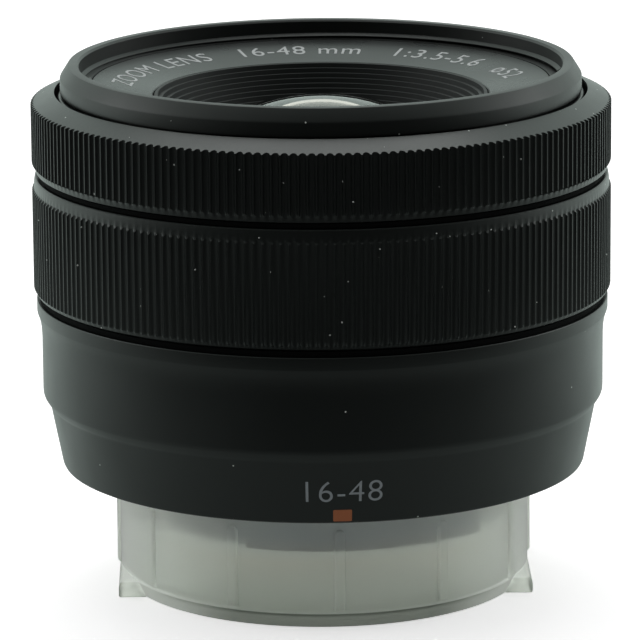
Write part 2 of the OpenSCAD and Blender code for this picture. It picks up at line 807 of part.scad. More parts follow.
module front_cell() {
  color([0.09, 0.09, 0.09])
    difference() {
      rotate_extrude()
        polygon([[third_r - 0.6, group_one - 3.8], [front_glass_r + 1.9, group_one - 3.8],
          [front_glass_r + 1.9, front_edge - 1], [cell_r, front_edge - 0.6], [cell_r, cell_z - cell_t],
          [seat_r - 0.15, cell_z - cell_t], [seat_r - 0.15, cell_z], [cell_in, cell_z],
          [cell_in, front_edge + 0.05], [front_glass_r + glass_fit, front_edge + 0.05],
          [front_glass_r + glass_fit, group_one], [second_r + glass_fit, group_one],
          [second_r + glass_fit, group_one - 1.6], [third_r + glass_fit, group_one - 1.6],
          [third_r + glass_fit, group_one - 3.6], [third_r - 0.6, group_one - 3.6]]);
      for (i = [0:2]) {
        post(0.5, cell_screw_c, 60 + 120 * i, cell_z - 3, cell_z + 1);
        post(0.9, cell_screw_c, 60 + 120 * i, cell_z - 0.35, cell_z + 1);
      }
    }
}

module cell_screws() {
  color([0.5, 0.51, 0.52])
    for (i = [0:2]) {
      post(0.85, cell_screw_c, 60 + 120 * i, cell_z - 0.35, cell_z - 0.05);
      post(0.45, cell_screw_c, 60 + 120 * i, web_z - 1.3, cell_z - 0.2);
    }
}

module name_ring() {
  color([0.2, 0.21, 0.21])
    rotate_extrude()
      polygon([[name_r, cell_z], [seat_r - 0.05, cell_z], [seat_r - 0.05, name_z],
        [name_r, name_z - name_fall]]);
}

module front_retainer() {
  steps = 9;
  r0 = name_r - 0.5;
  r1 = front_glass_r - 0.35;
  z0 = name_z - name_fall;
  dr = (r0 - r1) / steps;
  dz = (z0 - front_edge - 0.5) / steps;
  color([0.05, 0.05, 0.05])
    rotate_extrude()
      polygon(concat(
        [[r1, front_edge + 0.4], [r1 + 0.45, front_edge + 0.1], [name_r - 0.15, front_edge + 0.1],
         [name_r - 0.15, z0]],
        [for (k = [0:steps - 1]) each [[r0 - k * dr, z0 - k * dz], [r0 - k * dr - 0.08, z0 - (k + 1) * dz]]],
        [[r1, front_edge + 0.5]]));
}

module front_element() {
  color([0.72, 0.8, 0.78, 0.6])
    element_dome();
}

// The front element: a strong meniscus that bulges forward
module element_dome() {
  difference() {
    cylinder_z(front_glass_r, group_one, front_top);
    difference() {
      cylinder_z(front_glass_r + 1.4, front_edge, front_top + 1);
      translate([0, 0, front_top - front_curve])
        sphere(r = front_curve, $fn = 200);
    }
    translate([0, 0, front_top - front_core - bowl_curve])
      intersection() {
        sphere(r = bowl_curve);
        cylinder(r = second_r + 0.4, h = bowl_curve + 0.5);
      }
  }
}

module second_element() {
  color([0.75, 0.83, 0.82, 0.6])
    element(second_r, group_one - 1.6, group_one - 0.5, second_front, -second_back);
}

module third_element() {
  color([0.75, 0.83, 0.82, 0.6])
    element(third_r, group_one - 3.6, group_one - 2.2, third_curve, 0);
}

module group_frame() {
  color([0.13, 0.13, 0.14])
    difference() {
      union() {
        tube(cam_bore - 0.4, cam_bore - 1.3, group_z, deck_z + 7.6);
        tube(cam_bore - 1, pair_r + 2 * glass_fit, deck_z, deck_z + deck_t);
        tube(pair_r + 1.1, pair_r + glass_fit, deck_z - 3, deck_z + 0.1);
        for (y = [-rail_c, rail_c])
          intersection() {
            translate([-cam_bore, y, rail_z])
              rotate([0, 90, 0])
                cylinder(r = 0.5, h = 2 * cam_bore, $fn = 32);
            cylinder_z(cam_bore - 0.9, group_z, deck_z);
          }
      }
      for (i = [0:2])
        spoke(pin_r + 0.02, group_a + 120 * i, cam_bore - 3, cam_bore + 1, group_pin_z);
    }
}

module group_pins() {
  color([0.75, 0.76, 0.77])
    for (i = [0:2])
      spoke(pin_r, group_a + 120 * i, cam_bore - 1.2, guide_r - 0.1, group_pin_z);
}

module fourth_element() {
  color([0.75, 0.83, 0.82, 0.6])
    element(fourth_r, cover_z + 0.8, cover_z + 2.2, fourth_curve, 0);
}

module cemented_doublet() {
  color([0.75, 0.83, 0.82, 0.6]) {
    element(pair_r, deck_z - 1, deck_z + 0.2, pair_front, pair_curve);
    element(pair_r, deck_z - 2.9, deck_z - 1.03, -pair_curve, 0);
  }
}

module iris_base() {
  color([0.1, 0.1, 0.1])
    difference() {
      union() {
        tube(iris_r, iris_open + 0.2, iris_z, iris_z + 0.7);
        tube(iris_r, iris_r - 0.7, iris_z, cover_z);
      }
      for (i = [0:blade_n - 1])
        post(0.4, pivot_r, 360 / blade_n * i, iris_z - 1, iris_z + 2);
    }
}

module iris_cover() {
  color([0.1, 0.1, 0.1]) {
    tube(iris_r, fourth_r - 0.5, cover_z, cover_z + 0.8);
    tube(fourth_r + 1, fourth_r + glass_fit, cover_z + 0.7, cover_z + 2.6);
  }
}

module iris_motor() {
  color([0.58, 0.59, 0.6]) {
    post(2.1, drive_r - 1.4, 300, cover_z + 0.8, cover_z + 3.2);
    post(0.9, drive_r - 1.4, 300, cover_z + 3.1, cover_z + 3.5);
  }
}

// Tangential swing of the drive pin, which sets how far the iris ring turns
ring_swing = atan(blade_arm * sin(blade_turn / 2) / (pivot_r + blade_arm * cos(blade_turn / 2)));

module iris_ring() {
  color([0.22, 0.22, 0.22])
    difference() {
      tube(drive_r + 1.4, drive_r - 1.5, iris_ring_z, iris_ring_z + 0.8);
      for (i = [0:blade_n - 1])
        rotate(360 / blade_n * i - ring_swing)
          translate([drive_r - 0.75, -0.42, iris_ring_z - 1])
            cube([1.2, 0.84, 3]);
    }
}

// One blade: a crescent with a pivot below and a drive pin above, turned back to the open iris
module blade(i) {
  z = blade_z + i * blade_step;
  color([0.17, 0.17, 0.18])
    rotate(360 / blade_n * i) {
      translate([0, 0, z])
        linear_extrude(blade_t)
          difference() {
            union() {
              intersection() {
                circle(r = iris_open + 3.2);
                polygon([[0, 0], ray(20, -12), ray(20, 30), ray(20, 75), ray(20, 112)]);
              }
              translate([pivot_r, 0])
                circle(r = 0.8, $fn = 32);
              translate([iris_open + 2.6, -0.8])
                square([pivot_r - iris_open - 2.6, 1.6]);
              translate([pivot_r, 0])
                rotate(-blade_turn / 2) {
                  translate([0, -0.6])
                    square([blade_arm, 1.2]);
                  translate([blade_arm, 0])
                    circle(r = 0.6, $fn = 32);
                }
            }
            circle(r = iris_open);
          }
      translate([pivot_r, 0, 0]) {
        translate([0, 0, iris_z + 0.05])
          cylinder(r = 0.35, h = z - iris_z, $fn = 24);
        rotate(-blade_turn / 2)
          translate([blade_arm, 0, z])
            cylinder(r = 0.35, h = iris_ring_z + 0.7 - z, $fn = 24);
      }
    }
}

module iris_blade_1() {
  blade(0);
}

module iris_blade_2() {
  blade(1);
}

module iris_blade_3() {
  blade(2);
}

module iris_blade_4() {
  blade(3);
}

module iris_blade_5() {
  blade(4);
}

module iris_blade_6() {
  blade(5);
}

module iris_blade_7() {
  blade(6);
}

module shift_coils() {
  color([0.72, 0.42, 0.22])
    for (y = [-coil_c, coil_c])
      translate([0, y, deck_z - 3])
        linear_extrude(3)
          difference() {
            square([8, 3.4], center = true);
            square([5, 1.2], center = true);
          }
}

module shift_carriage() {
  color([0.18, 0.18, 0.19])
    difference() {
      union() {
        intersection() {
          translate([-carriage_x, -carriage_y, shift_z + 2.2])
            cube([2 * carriage_x, 2 * carriage_y, 0.8]);
          cylinder_z(cam_bore - 2.1, shift_z, deck_z);
        }
        for (y = [-rail_c, rail_c], x = [-rail_shoe_x, rail_shoe_x])
          translate([x - 1.2, y - 1.2, shift_z + 2.2])
            cube([2.4, 2.4, 2.4]);
        for (x = [-carriage_x, carriage_x - cheek_t])
          translate([x, -8, shift_z])
            cube([cheek_t, 16, 2.4]);
      }
      for (half = [[shift_r + 2.4, shift_r + 2.4], [4.5, coil_c + 1.5]])
        translate([-half[0], -half[1], shift_z + 1])
          cube([2 * half[0], 2 * half[1], 3]);
      for (y = [-rail_c, rail_c])
        translate([-cam_bore, y, rail_z])
          rotate([0, 90, 0])
            cylinder(r = 0.55, h = 2 * cam_bore, $fn = 32);
    }
}

module shift_frame() {
  color([0.24, 0.24, 0.25])
    difference() {
      union() {
        translate([cheek_t + 0.1 - carriage_x, -7.4, shift_z])
          cube([2 * (carriage_x - cheek_t - 0.1), 14.8, 2]);
        translate([-4.2, -coil_c - 1, shift_z])
          cube([8.4, 2 * coil_c + 2, 2]);
        cylinder_z(shift_r + 2, shift_z, shift_z + 2);
      }
      cylinder_z(shift_r + glass_fit, shift_z + 0.3, shift_z + 3);
      cylinder_z(shift_r - 0.5, shift_z - 1, shift_z + 3);
    }
}

module shift_element() {
  color([0.75, 0.83, 0.82, 0.6])
    element(shift_r, shift_z + 0.3, shift_z + 1.6, shift_curve, 0);
}

module shift_magnets() {
  color([0.66, 0.67, 0.68])
    for (y = [0.3 - coil_c, coil_c - 0.3])
      translate([-3.5, y - 1.1, shift_z + 2])
        cube([7, 2.2, 0.8]);
}

module focus_frame() {
  color([0.12, 0.12, 0.12])
    difference() {
      union() {
        cylinder_z(focus_r + 1.2, focus_z, focus_z + 2);
        for (a = [90, 270]) {
          rotate(a)
            translate([focus_r, -1.2, focus_z])
              cube([rod_c - focus_r, 2.4, 1.2]);
          post(rod_r + 0.8, rod_c, a, focus_z, focus_z + 2);
        }
        rotate(180)
          translate([focus_r, -1.2, focus_z])
            cube([rod_c - focus_r, 2.4, 1.2]);
        post(screw_r + 0.9, rod_c, 180, focus_z, focus_z + 2);
      }
      cylinder_z(focus_r + glass_fit, focus_z + 0.3, focus_z + 3);
      cylinder_z(focus_r - 0.4, focus_z - 1, focus_z + 3);
      for (a = [90, 270])
        post(rod_r + 0.03, rod_c, a, focus_z - 1, focus_z + 3);
      post(screw_r + 0.05, rod_c, 180, focus_z - 1, focus_z + 3);
    }
}

module focus_element() {
  color([0.75, 0.83, 0.82, 0.6])
    element(focus_r, focus_z + 0.3, focus_z + 1.8, -focus_curve, 0);
}

module lead_screw() {
  color([0.7, 0.71, 0.72])
    post(screw_r, rod_c, 180, plate_z + plate_t + 1.3, focus_z + 2 + focus_travel + 0.5);
}

rear_cap();
bayonet_mount();
mount_screws();
contact_block();
contact_pins();
rear_baffle();
main_board();
rear_barrel();
rear_frame();
ninth_element();
rear_element();
guide_rods();
focus_motor();
fixed_barrel();
guide_barrel();
guide_screws();
zoom_motor();
ring_washers();
control_ring_clip();
dust_seal();
return_springs();
zoom_ring();
control_ring();
cam_barrel();
drive_pinion();
mid_barrel();
mid_pins();
front_barrel();
front_pins();
front_cell();
cell_screws();
name_ring();
front_retainer();
front_element();
second_element();
third_element();
group_frame();
group_pins();
fourth_element();
cemented_doublet();
iris_base();
iris_cover();
iris_motor();
shift_coils();
iris_ring();
iris_blade_1();
iris_blade_2();
iris_blade_3();
iris_blade_4();
iris_blade_5();
iris_blade_6();
iris_blade_7();
shift_carriage();
shift_frame();
shift_element();
shift_magnets();
focus_frame();
focus_element();
lead_screw();
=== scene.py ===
# The looks of a compact power zoom lens that stands, collapsed, on its milky rear cap.
# The file follows the lens as it is put together, from the cap up to the front glass.
import math

import bmesh
import bpy
from mathutils import Euler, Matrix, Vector


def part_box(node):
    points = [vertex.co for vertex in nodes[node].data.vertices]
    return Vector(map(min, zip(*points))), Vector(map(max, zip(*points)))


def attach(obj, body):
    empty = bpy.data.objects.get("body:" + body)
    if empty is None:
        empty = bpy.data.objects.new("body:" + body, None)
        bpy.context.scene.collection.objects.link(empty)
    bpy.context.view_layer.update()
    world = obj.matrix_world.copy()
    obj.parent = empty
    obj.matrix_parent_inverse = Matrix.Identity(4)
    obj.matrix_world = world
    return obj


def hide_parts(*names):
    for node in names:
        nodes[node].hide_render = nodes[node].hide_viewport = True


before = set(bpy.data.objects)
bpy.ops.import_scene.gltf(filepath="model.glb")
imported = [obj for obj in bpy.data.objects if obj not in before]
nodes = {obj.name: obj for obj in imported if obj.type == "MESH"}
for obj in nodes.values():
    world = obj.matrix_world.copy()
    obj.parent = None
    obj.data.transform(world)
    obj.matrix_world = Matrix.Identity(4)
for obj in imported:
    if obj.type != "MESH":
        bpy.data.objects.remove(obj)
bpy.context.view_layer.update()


# Rear cap
# A push-on cap of milky polypropylene, moulded in one piece with twelve grip ribs
# and two pull ears at its foot. It clips over the bayonet lugs and carries the lens.
MM = 0.001
ROUND = 256
WELD = 0.002


def start(name):
    """The object just added becomes the piece of that name."""
    piece = bpy.context.object
    piece.name = name
    piece.data.name = name
    return piece


def turned(name, profile, steps=ROUND):
    """Turns a profile of (radius, height) points in millimetres about the optical axis."""
    bpy.ops.object.select_all(action="DESELECT")
    bpy.ops.mesh.primitive_plane_add(size=MM)
    piece = start(name)
    bpy.ops.object.mode_set(mode="EDIT")
    bpy.ops.mesh.merge(type="CENTER")
    r, z = profile[0]
    bpy.ops.transform.translate(value=(r * MM, 0, z * MM))
    for r_next, z_next in profile[1:]:
        move = ((r_next - r) * MM, 0, (z_next - z) * MM)
        bpy.ops.mesh.extrude_region_move(TRANSFORM_OT_translate={"value": move})
        r, z = r_next, z_next
    bpy.ops.mesh.select_all(action="SELECT")
    bpy.ops.mesh.spin(steps=steps, angle=math.tau, center=(0, 0, 0), axis=(0, 0, 1))
    close_up()
    return piece


def close_up():
    """Welds the seams of the mesh in edit mode, turns its faces outwards and leaves edit mode."""
    bpy.ops.mesh.select_all(action="SELECT")
    bpy.ops.mesh.remove_doubles(threshold=WELD * MM)
    bpy.ops.mesh.normals_make_consistent(inside=False)
    bpy.ops.object.mode_set(mode="OBJECT")


def pick(piece, test):
    """Selects, in edit mode, the vertices of the piece that pass the test, with what lies between them."""
    mesh = bmesh.from_edit_mesh(piece.data)
    for v in mesh.verts:
        v.select_set(False)
    mesh.select_flush(False)
    for v in mesh.verts:
        v.select_set(bool(test(v.co)))
    mesh.select_flush(True)
    bmesh.update_edit_mesh(piece.data)


def joined(piece, tool):
    """Unites the piece with a second mesh and removes that one."""
    bpy.context.view_layer.objects.active = piece
    union = piece.modifiers.new("union", "BOOLEAN")
    union.operation = "UNION"
    union.solver = "EXACT"
    union.object = tool
    bpy.ops.object.modifier_apply(modifier=union.name)
    bpy.data.objects.remove(tool)


def finished(piece, material, body, slot, *replaced, angle=32):
    """Smooths the piece, gives it its finish, and seats it on its body in place of CAD nodes."""
    bpy.ops.object.select_all(action="DESELECT")
    piece.select_set(True)
    bpy.context.view_layer.objects.active = piece
    bpy.ops.object.shade_smooth_by_angle(angle=math.radians(angle))
    piece.data.materials.clear()
    piece.data.materials.append(material)
    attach(piece, body)
    if replaced:
        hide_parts(*replaced)
    return piece


def srgb(red, green, blue):
    """A colour written in the usual 0 to 255 steps, as linear light."""
    steps = [c / 255 for c in (red, green, blue)]
    return [c / 12.92 if c <= 0.04045 else ((c + 0.055) / 1.055) ** 2.4 for c in steps] + [1]


def group(name, inputs, outputs):
    """A shader node group with named inputs and outputs: (name, socket type, default)."""
    made = bpy.data.node_groups.new(name, "ShaderNodeTree")
    for label, kind, default in inputs:
        made.interface.new_socket(label, in_out="INPUT", socket_type=kind).default_value = default
    for label, kind in outputs:
        made.interface.new_socket(label, in_out="OUTPUT", socket_type=kind)
    return made, made.nodes.new("NodeGroupInput"), made.nodes.new("NodeGroupOutput")


def node(tree, kind, links=None, **values):
    """Adds a node, sets its properties and sockets by name, and links outputs to its inputs."""
    made = tree.nodes.new(kind)
    for key, value in values.items():
        setattr(made, key, value)
    for key, value in (links or {}).items():
        if isinstance(value, bpy.types.NodeSocket):
            tree.links.new(value, made.inputs[key])
        else:
            made.inputs[key].default_value = value
    return made


# Moulded grain: a fine even roughness of the surface, with slow patches that shine a little more
grain, grain_in, grain_out = group("moulded grain",
    [("Scale", "NodeSocketFloat", 4000), ("Patch Scale", "NodeSocketFloat", 120)],
    [("Height", "NodeSocketFloat"), ("Patches", "NodeSocketFloat")])
place = node(grain, "ShaderNodeTexCoord")
fine = node(grain, "ShaderNodeTexNoise", {"Vector": place.outputs["Object"],
    "Scale": grain_in.outputs["Scale"], "Detail": 2, "Roughness": 0.6})
slow = node(grain, "ShaderNodeTexNoise", {"Vector": place.outputs["Object"],
    "Scale": grain_in.outputs["Patch Scale"], "Detail": 3})
grain.links.new(fine.outputs["Fac"], grain_out.inputs["Height"])
grain.links.new(slow.outputs["Fac"], grain_out.inputs["Patches"])


def finish_of(name, **sockets):
    """A new material with its node tree and its Principled shader, whose plain sockets are set as given."""
    material = bpy.data.materials.new(name)
    material.use_nodes = True
    shader = material.node_tree.nodes["Principled BSDF"]
    for key, value in sockets.items():
        shader.inputs[key.replace("_", " ")].default_value = value
    return material, material.node_tree, shader


patch_scale = 90
cap_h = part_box("rear_cap")[1].z / MM
rib_n = 12
rib_out = 0.35
rib_top = 10.95
rib_round = 0.3
rib_arch = 0.65
cap_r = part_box("rear_cap")[1].y / MM - rib_out
cap_wall = 1.25
cap_in = cap_r - cap_wall
cap_floor = 1.2
cap_band = 1.95
cap_draft = 0.85
cap_foot = cap_r - cap_draft
wall_foot = cap_band + 0.1
lip = 0.25
lip_mid = 0.08
ear_out = 0.1
ear_half = 9.2
ear_turn = -3.2
ear_corner = 1.6
ear_crown = 0.9
ear_foot = 0.25
core_r = cap_in + 0.4


def beside_rib(co):
    """How many degrees a point lies to the side of the nearest rib's middle."""
    turn = math.degrees(math.atan2(co.y, co.x)) % (360 / rib_n)
    return min(turn, 360 / rib_n - turn)


cap_steps = rib_n * 36
rib_half_deg = 4 * 180 / cap_steps
cap = turned("rear_cap_shell", [(0, 0), (cap_foot - 0.3, 0), (cap_foot, 0.12), (cap_foot + 0.16, 0.35),
    (cap_r - 0.1, cap_band - 0.15), (cap_r, wall_foot), (cap_r, rib_top), (cap_r, cap_h - lip),
    (cap_r - lip_mid, cap_h - lip_mid), (cap_r - lip, cap_h), (cap_in + lip, cap_h),
    (cap_in + lip_mid, cap_h - lip_mid), (cap_in, cap_h - lip), (cap_in, cap_floor + 0.6),
    (cap_in - 0.18, cap_floor + 0.18), (cap_in - 0.6, cap_floor), (0, cap_floor)], cap_steps)
bpy.ops.object.mode_set(mode="EDIT")
bpy.ops.mesh.select_mode(type="FACE")
bpy.ops.mesh.select_all(action="DESELECT")
mesh = bmesh.from_edit_mesh(cap.data)
for face in mesh.faces:
    spot = face.calc_center_median()
    on_wall = math.hypot(spot.x, spot.y) > (cap_r - 0.05) * MM and wall_foot < spot.z / MM < rib_top
    face.select_set(on_wall and beside_rib(spot) < rib_half_deg)
bmesh.update_edit_mesh(cap.data)
bpy.ops.mesh.extrude_region_shrink_fatten(TRANSFORM_OT_shrink_fatten={"value": rib_out * MM})
bpy.ops.mesh.region_to_loop()
bpy.ops.mesh.bevel(offset=rib_round * MM, segments=4)
bpy.ops.mesh.select_mode(type="VERT")

# The top of each rib is lowered in three steps towards its sides, which makes it an arch
for aside, drop in ((0.5, 0.08), (0.9, 0.12), (1.3, 0.25)):
    pick(cap, lambda co: co.z > (rib_top - rib_arch) * MM and co.z < (rib_top + 0.1) * MM
        and math.hypot(co.x, co.y) > (cap_r + 0.02) * MM and beside_rib(co) > aside)
    bpy.ops.transform.translate(value=(0, 0, -drop * MM))
close_up()

bpy.ops.object.select_all(action="DESELECT")
bpy.ops.mesh.primitive_cube_add(size=1, location=(0, 0, cap_band / 2 * MM),
    scale=(2 * (cap_r + ear_out) * MM, 2 * ear_half * MM, cap_band * MM))
ears = start("cap_ears")
bpy.ops.object.transform_apply(location=True, rotation=True, scale=True)
bpy.ops.object.mode_set(mode="EDIT")
mesh = bmesh.from_edit_mesh(ears.data)
for edge in mesh.edges:
    edge.select_set(abs(edge.verts[0].co.z - edge.verts[1].co.z) > MM)
bmesh.update_edit_mesh(ears.data)
bpy.ops.mesh.bevel(offset=ear_corner * MM, segments=8)
pick(ears, lambda co: co.z > (cap_band - 0.1) * MM)
bpy.ops.mesh.bevel(offset=ear_crown * MM, segments=6)
pick(ears, lambda co: co.z < 0.1 * MM)
bpy.ops.mesh.bevel(offset=ear_foot * MM, segments=3)
close_up()
ears.rotation_euler = (0, 0, math.radians(ear_turn))
bpy.ops.object.transform_apply(location=True, rotation=True, scale=True)
core = turned("ear_core", [(0, -1), (core_r, -1), (core_r, 3), (0, 3)], 128)
bpy.context.view_layer.objects.active = ears
cut = ears.modifiers.new("core", "BOOLEAN")
cut.operation = "DIFFERENCE"
cut.object = core
bpy.ops.object.modifier_apply(modifier=cut.name)
bpy.data.objects.remove(core)
joined(cap, ears)

# Clear enough to show the mount as a shadow. Its colour holds painted shade that darkens its foot, painted
# side light that makes it paler towards its ears, and a painted cool tint towards its top where the mount's
# shadow shows through.
# It is frosted on the flanks of its ribs and at the bend above its foot
foot_shade_low, foot_shade_high = 1.6, 1.75
side_light_start, side_light_full = 10, 21
inner_reach = 21
bend_z, bend_half = 2.0, 0.28
flank_low, flank_high = cap_r + 0.02, cap_r + 0.08
crown_low, crown_high = cap_r + 0.25, cap_r + 0.33
frosted = 0.9
milky, tree, shader = finish_of("milky polypropylene", IOR=1.3, Transmission_Weight=0.7, Sheen_Weight=1.0,
    Sheen_Roughness=0.4)
skin = node(tree, "ShaderNodeGroup", node_tree=grain)
skin.inputs["Scale"].default_value = 8000
skin.inputs["Patch Scale"].default_value = patch_scale
place = node(tree, "ShaderNodeTexCoord")
split = node(tree, "ShaderNodeSeparateXYZ", {"Vector": place.outputs["Object"]})
# Painted shade: below this height, outside the inner floor, the wall is coloured dark
above = node(tree, "ShaderNodeMapRange", {"Value": split.outputs["Z"], "From Min": foot_shade_low * MM,
    "From Max": foot_shade_high * MM, "To Min": 0.0, "To Max": 1.0}, interpolation_type="SMOOTHSTEP")
across = node(tree, "ShaderNodeMath", {0: split.outputs["X"]}, operation="ABSOLUTE")
# Painted side light: the wall and its foot are coloured paler towards ±X, where the ears are
painted_side_light = node(tree, "ShaderNodeMapRange", {"Value": across.outputs[0], "From Min": side_light_start * MM,
    "From Max": side_light_full * MM, "To Min": 0.0, "To Max": 1.0}, interpolation_type="SMOOTHSTEP")
flat = node(tree, "ShaderNodeVectorMath", {0: place.outputs["Object"], 1: (1, 1, 0)}, operation="MULTIPLY")
reach = node(tree, "ShaderNodeVectorMath", {0: flat.outputs["Vector"]}, operation="LENGTH")
inside = node(tree, "ShaderNodeMath", {0: reach.outputs["Value"], 1: inner_reach * MM}, operation="LESS_THAN")
unshaded = node(tree, "ShaderNodeMath", {0: above.outputs["Result"], 1: inside.outputs[0]}, operation="MAXIMUM")
# Painted shadow tint: the wall is coloured cooler towards its top, where the mount's shadow shows through
rise = node(tree, "ShaderNodeMapRange", {"Value": split.outputs["Z"], "From Min": bend_z * MM,
    "From Max": cap_h * MM})
height = node(tree, "ShaderNodeValToRGB", {"Fac": rise.outputs["Result"]})
for spot, colour in ((0.15, (234, 241, 231)), (0.5, (240, 240, 229)), (0.75, (226, 238, 238))):
    stop = height.color_ramp.elements.new(spot)
    stop.color = srgb(*colour)
height.color_ramp.elements.remove(height.color_ramp.elements[-1])
height.color_ramp.elements.remove(height.color_ramp.elements[0])
# Painted side light: the wall's colour is mixed towards a paler white at the sides
side = node(tree, "ShaderNodeMix", {"Factor": painted_side_light.outputs["Result"], "A": height.outputs["Color"]},
    data_type="RGBA")
side.inputs["B"].default_value = srgb(249, 255, 248)
haze = node(tree, "ShaderNodeMix", {"Factor": skin.outputs["Patches"], "A": side.outputs["Result"]},
    data_type="RGBA")
haze.inputs["B"].default_value = srgb(244, 248, 241)
# Painted shade on the foot, darkest at the middle of the front and paler towards the ears as painted side
# light
band = node(tree, "ShaderNodeMix", {"Factor": painted_side_light.outputs["Result"]}, data_type="RGBA")
band.inputs["A"].default_value = srgb(106, 113, 102)
band.inputs["B"].default_value = srgb(213, 220, 209)
painted_foot_shade = node(tree, "ShaderNodeMix", {"Factor": unshaded.outputs[0], "A": band.outputs["Result"],
    "B": haze.outputs["Result"]}, data_type="RGBA")
gloss = node(tree, "ShaderNodeMapRange", {"Value": skin.outputs["Patches"],
    "From Min": 0.3, "From Max": 0.7, "To Min": 0.42, "To Max": 0.5})
rising = node(tree, "ShaderNodeMapRange", {"Value": reach.outputs["Value"], "From Min": flank_low * MM,
    "From Max": flank_high * MM})
level = node(tree, "ShaderNodeMapRange", {"Value": reach.outputs["Value"], "From Min": crown_low * MM,
    "From Max": crown_high * MM, "To Min": 1.0, "To Max": 0.0})
flank = node(tree, "ShaderNodeMath", {0: rising.outputs["Result"], 1: level.outputs["Result"]},
    operation="MULTIPLY")
bend = node(tree, "ShaderNodeMath", {0: split.outputs["Z"], 1: bend_z * MM, 2: bend_half * MM},
    operation="COMPARE")
dull = node(tree, "ShaderNodeMath", {0: flank.outputs[0], 1: bend.outputs[0]}, operation="MAXIMUM")
frost = node(tree, "ShaderNodeMix", {"Factor": dull.outputs[0], "A": gloss.outputs["Result"], "B": frosted},
    data_type="FLOAT")
bump = node(tree, "ShaderNodeBump", {"Height": skin.outputs["Height"], "Strength": 1.0,
    "Distance": 0.002 * MM})
tree.links.new(painted_foot_shade.outputs["Result"], shader.inputs["Base Color"])
tree.links.new(frost.outputs["Result"], shader.inputs["Roughness"])
tree.links.new(bump.outputs["Normal"], shader.inputs["Normal"])
finished(cap, milky, "cap", "milky", "rear_cap")


def dressed(material, *names):
    """CAD nodes whose shape is right keep it and take this finish."""
    for name in names:
        nodes[name].data.materials.clear()
        nodes[name].data.materials.append(material)


# Dust: pale specks scattered at random, most cells of the scatter left empty
dust, dust_in, dust_out = group("dust specks",
    [("Scale", "NodeSocketFloat", 500), ("Size", "NodeSocketFloat", 0.1), ("Share", "NodeSocketFloat", 0.1)],
    [("Mask", "NodeSocketFloat")])
place = node(dust, "ShaderNodeTexCoord")
cells = node(dust, "ShaderNodeTexVoronoi", {"Vector": place.outputs["Object"],
    "Scale": dust_in.outputs["Scale"]})
draw = node(dust, "ShaderNodeSeparateColor", {"Color": cells.outputs["Color"]})
chosen = node(dust, "ShaderNodeMath", {0: draw.outputs["Red"], 1: dust_in.outputs["Share"]},
    operation="LESS_THAN")
near = node(dust, "ShaderNodeMath", {0: cells.outputs["Distance"], 1: dust_in.outputs["Size"]},
    operation="LESS_THAN")
speck = node(dust, "ShaderNodeMath", {0: chosen.outputs[0], 1: near.outputs[0]}, operation="MULTIPLY")
dust.links.new(speck.outputs[0], dust_out.inputs["Mask"])

dust_scale = 520
dust_size = 0.05
dust_grey = (184, 189, 184)


def moulded(name, dark, light, rough_low, rough_high, grain_size=0.05, depth=0.004, dusty=0.0, **sockets):
    """Moulded or sprayed plastic: two near colours in slow patches, a fine grain, and dust if asked for."""
    material, tree, shader = finish_of(name, **sockets)
    skin = node(tree, "ShaderNodeGroup", node_tree=grain)
    skin.inputs["Scale"].default_value = 1 / (grain_size * MM)
    skin.inputs["Patch Scale"].default_value = patch_scale
    tone = node(tree, "ShaderNodeMix", {"Factor": skin.outputs["Patches"]}, data_type="RGBA")
    tone.inputs["A"].default_value = srgb(*dark)
    tone.inputs["B"].default_value = srgb(*light)
    colour = tone.outputs["Result"]
    gloss = node(tree, "ShaderNodeMapRange", {"Value": skin.outputs["Patches"],
        "From Min": 0.3, "From Max": 0.7, "To Min": rough_low, "To Max": rough_high})
    if dusty:
        specks = node(tree, "ShaderNodeGroup", node_tree=dust)
        specks.inputs["Scale"].default_value = dust_scale
        specks.inputs["Size"].default_value = dust_size
        specks.inputs["Share"].default_value = dusty
        tone = node(tree, "ShaderNodeMix", {"Factor": specks.outputs["Mask"], "A": colour}, data_type="RGBA")
        tone.inputs["B"].default_value = srgb(*dust_grey)
        colour = tone.outputs["Result"]
    bump = node(tree, "ShaderNodeBump", {"Height": skin.outputs["Height"], "Strength": 1.0,
        "Distance": depth * MM})
    tree.links.new(colour, shader.inputs["Base Color"])
    tree.links.new(gloss.outputs["Result"], shader.inputs["Roughness"])
    tree.links.new(bump.outputs["Normal"], shader.inputs["Normal"])
    return material


def metal(name, dark, light, rough, line_scale, depth, along=(1, 1, 1), **sockets):
    """Bare or plated metal with tool marks: streaks stretched one way, and a slow change of tone."""
    material, tree, shader = finish_of(name, Metallic=1.0, **sockets)
    place = node(tree, "ShaderNodeTexCoord")
    stretch = node(tree, "ShaderNodeMapping", {"Vector": place.outputs["Object"], "Scale": along})
    marks = node(tree, "ShaderNodeTexNoise", {"Vector": stretch.outputs["Vector"], "Scale": line_scale,
        "Detail": 4})
    skin = node(tree, "ShaderNodeGroup", node_tree=grain)
    skin.inputs["Patch Scale"].default_value = 200
    tone = node(tree, "ShaderNodeMix", {"Factor": skin.outputs["Patches"]}, data_type="RGBA")
    tone.inputs["A"].default_value = srgb(*dark)
    tone.inputs["B"].default_value = srgb(*light)
    gloss = node(tree, "ShaderNodeMapRange", {"Value": marks.outputs["Fac"],
        "From Min": 0.3, "From Max": 0.7, "To Min": rough * 0.7, "To Max": rough * 1.3})
    bump = node(tree, "ShaderNodeBump", {"Height": marks.outputs["Fac"], "Strength": 1.0,
        "Distance": depth * MM})
    tree.links.new(tone.outputs["Result"], shader.inputs["Base Color"])
    tree.links.new(gloss.outputs["Result"], shader.inputs["Roughness"])
    tree.links.new(bump.outputs["Normal"], shader.inputs["Normal"])
    return material


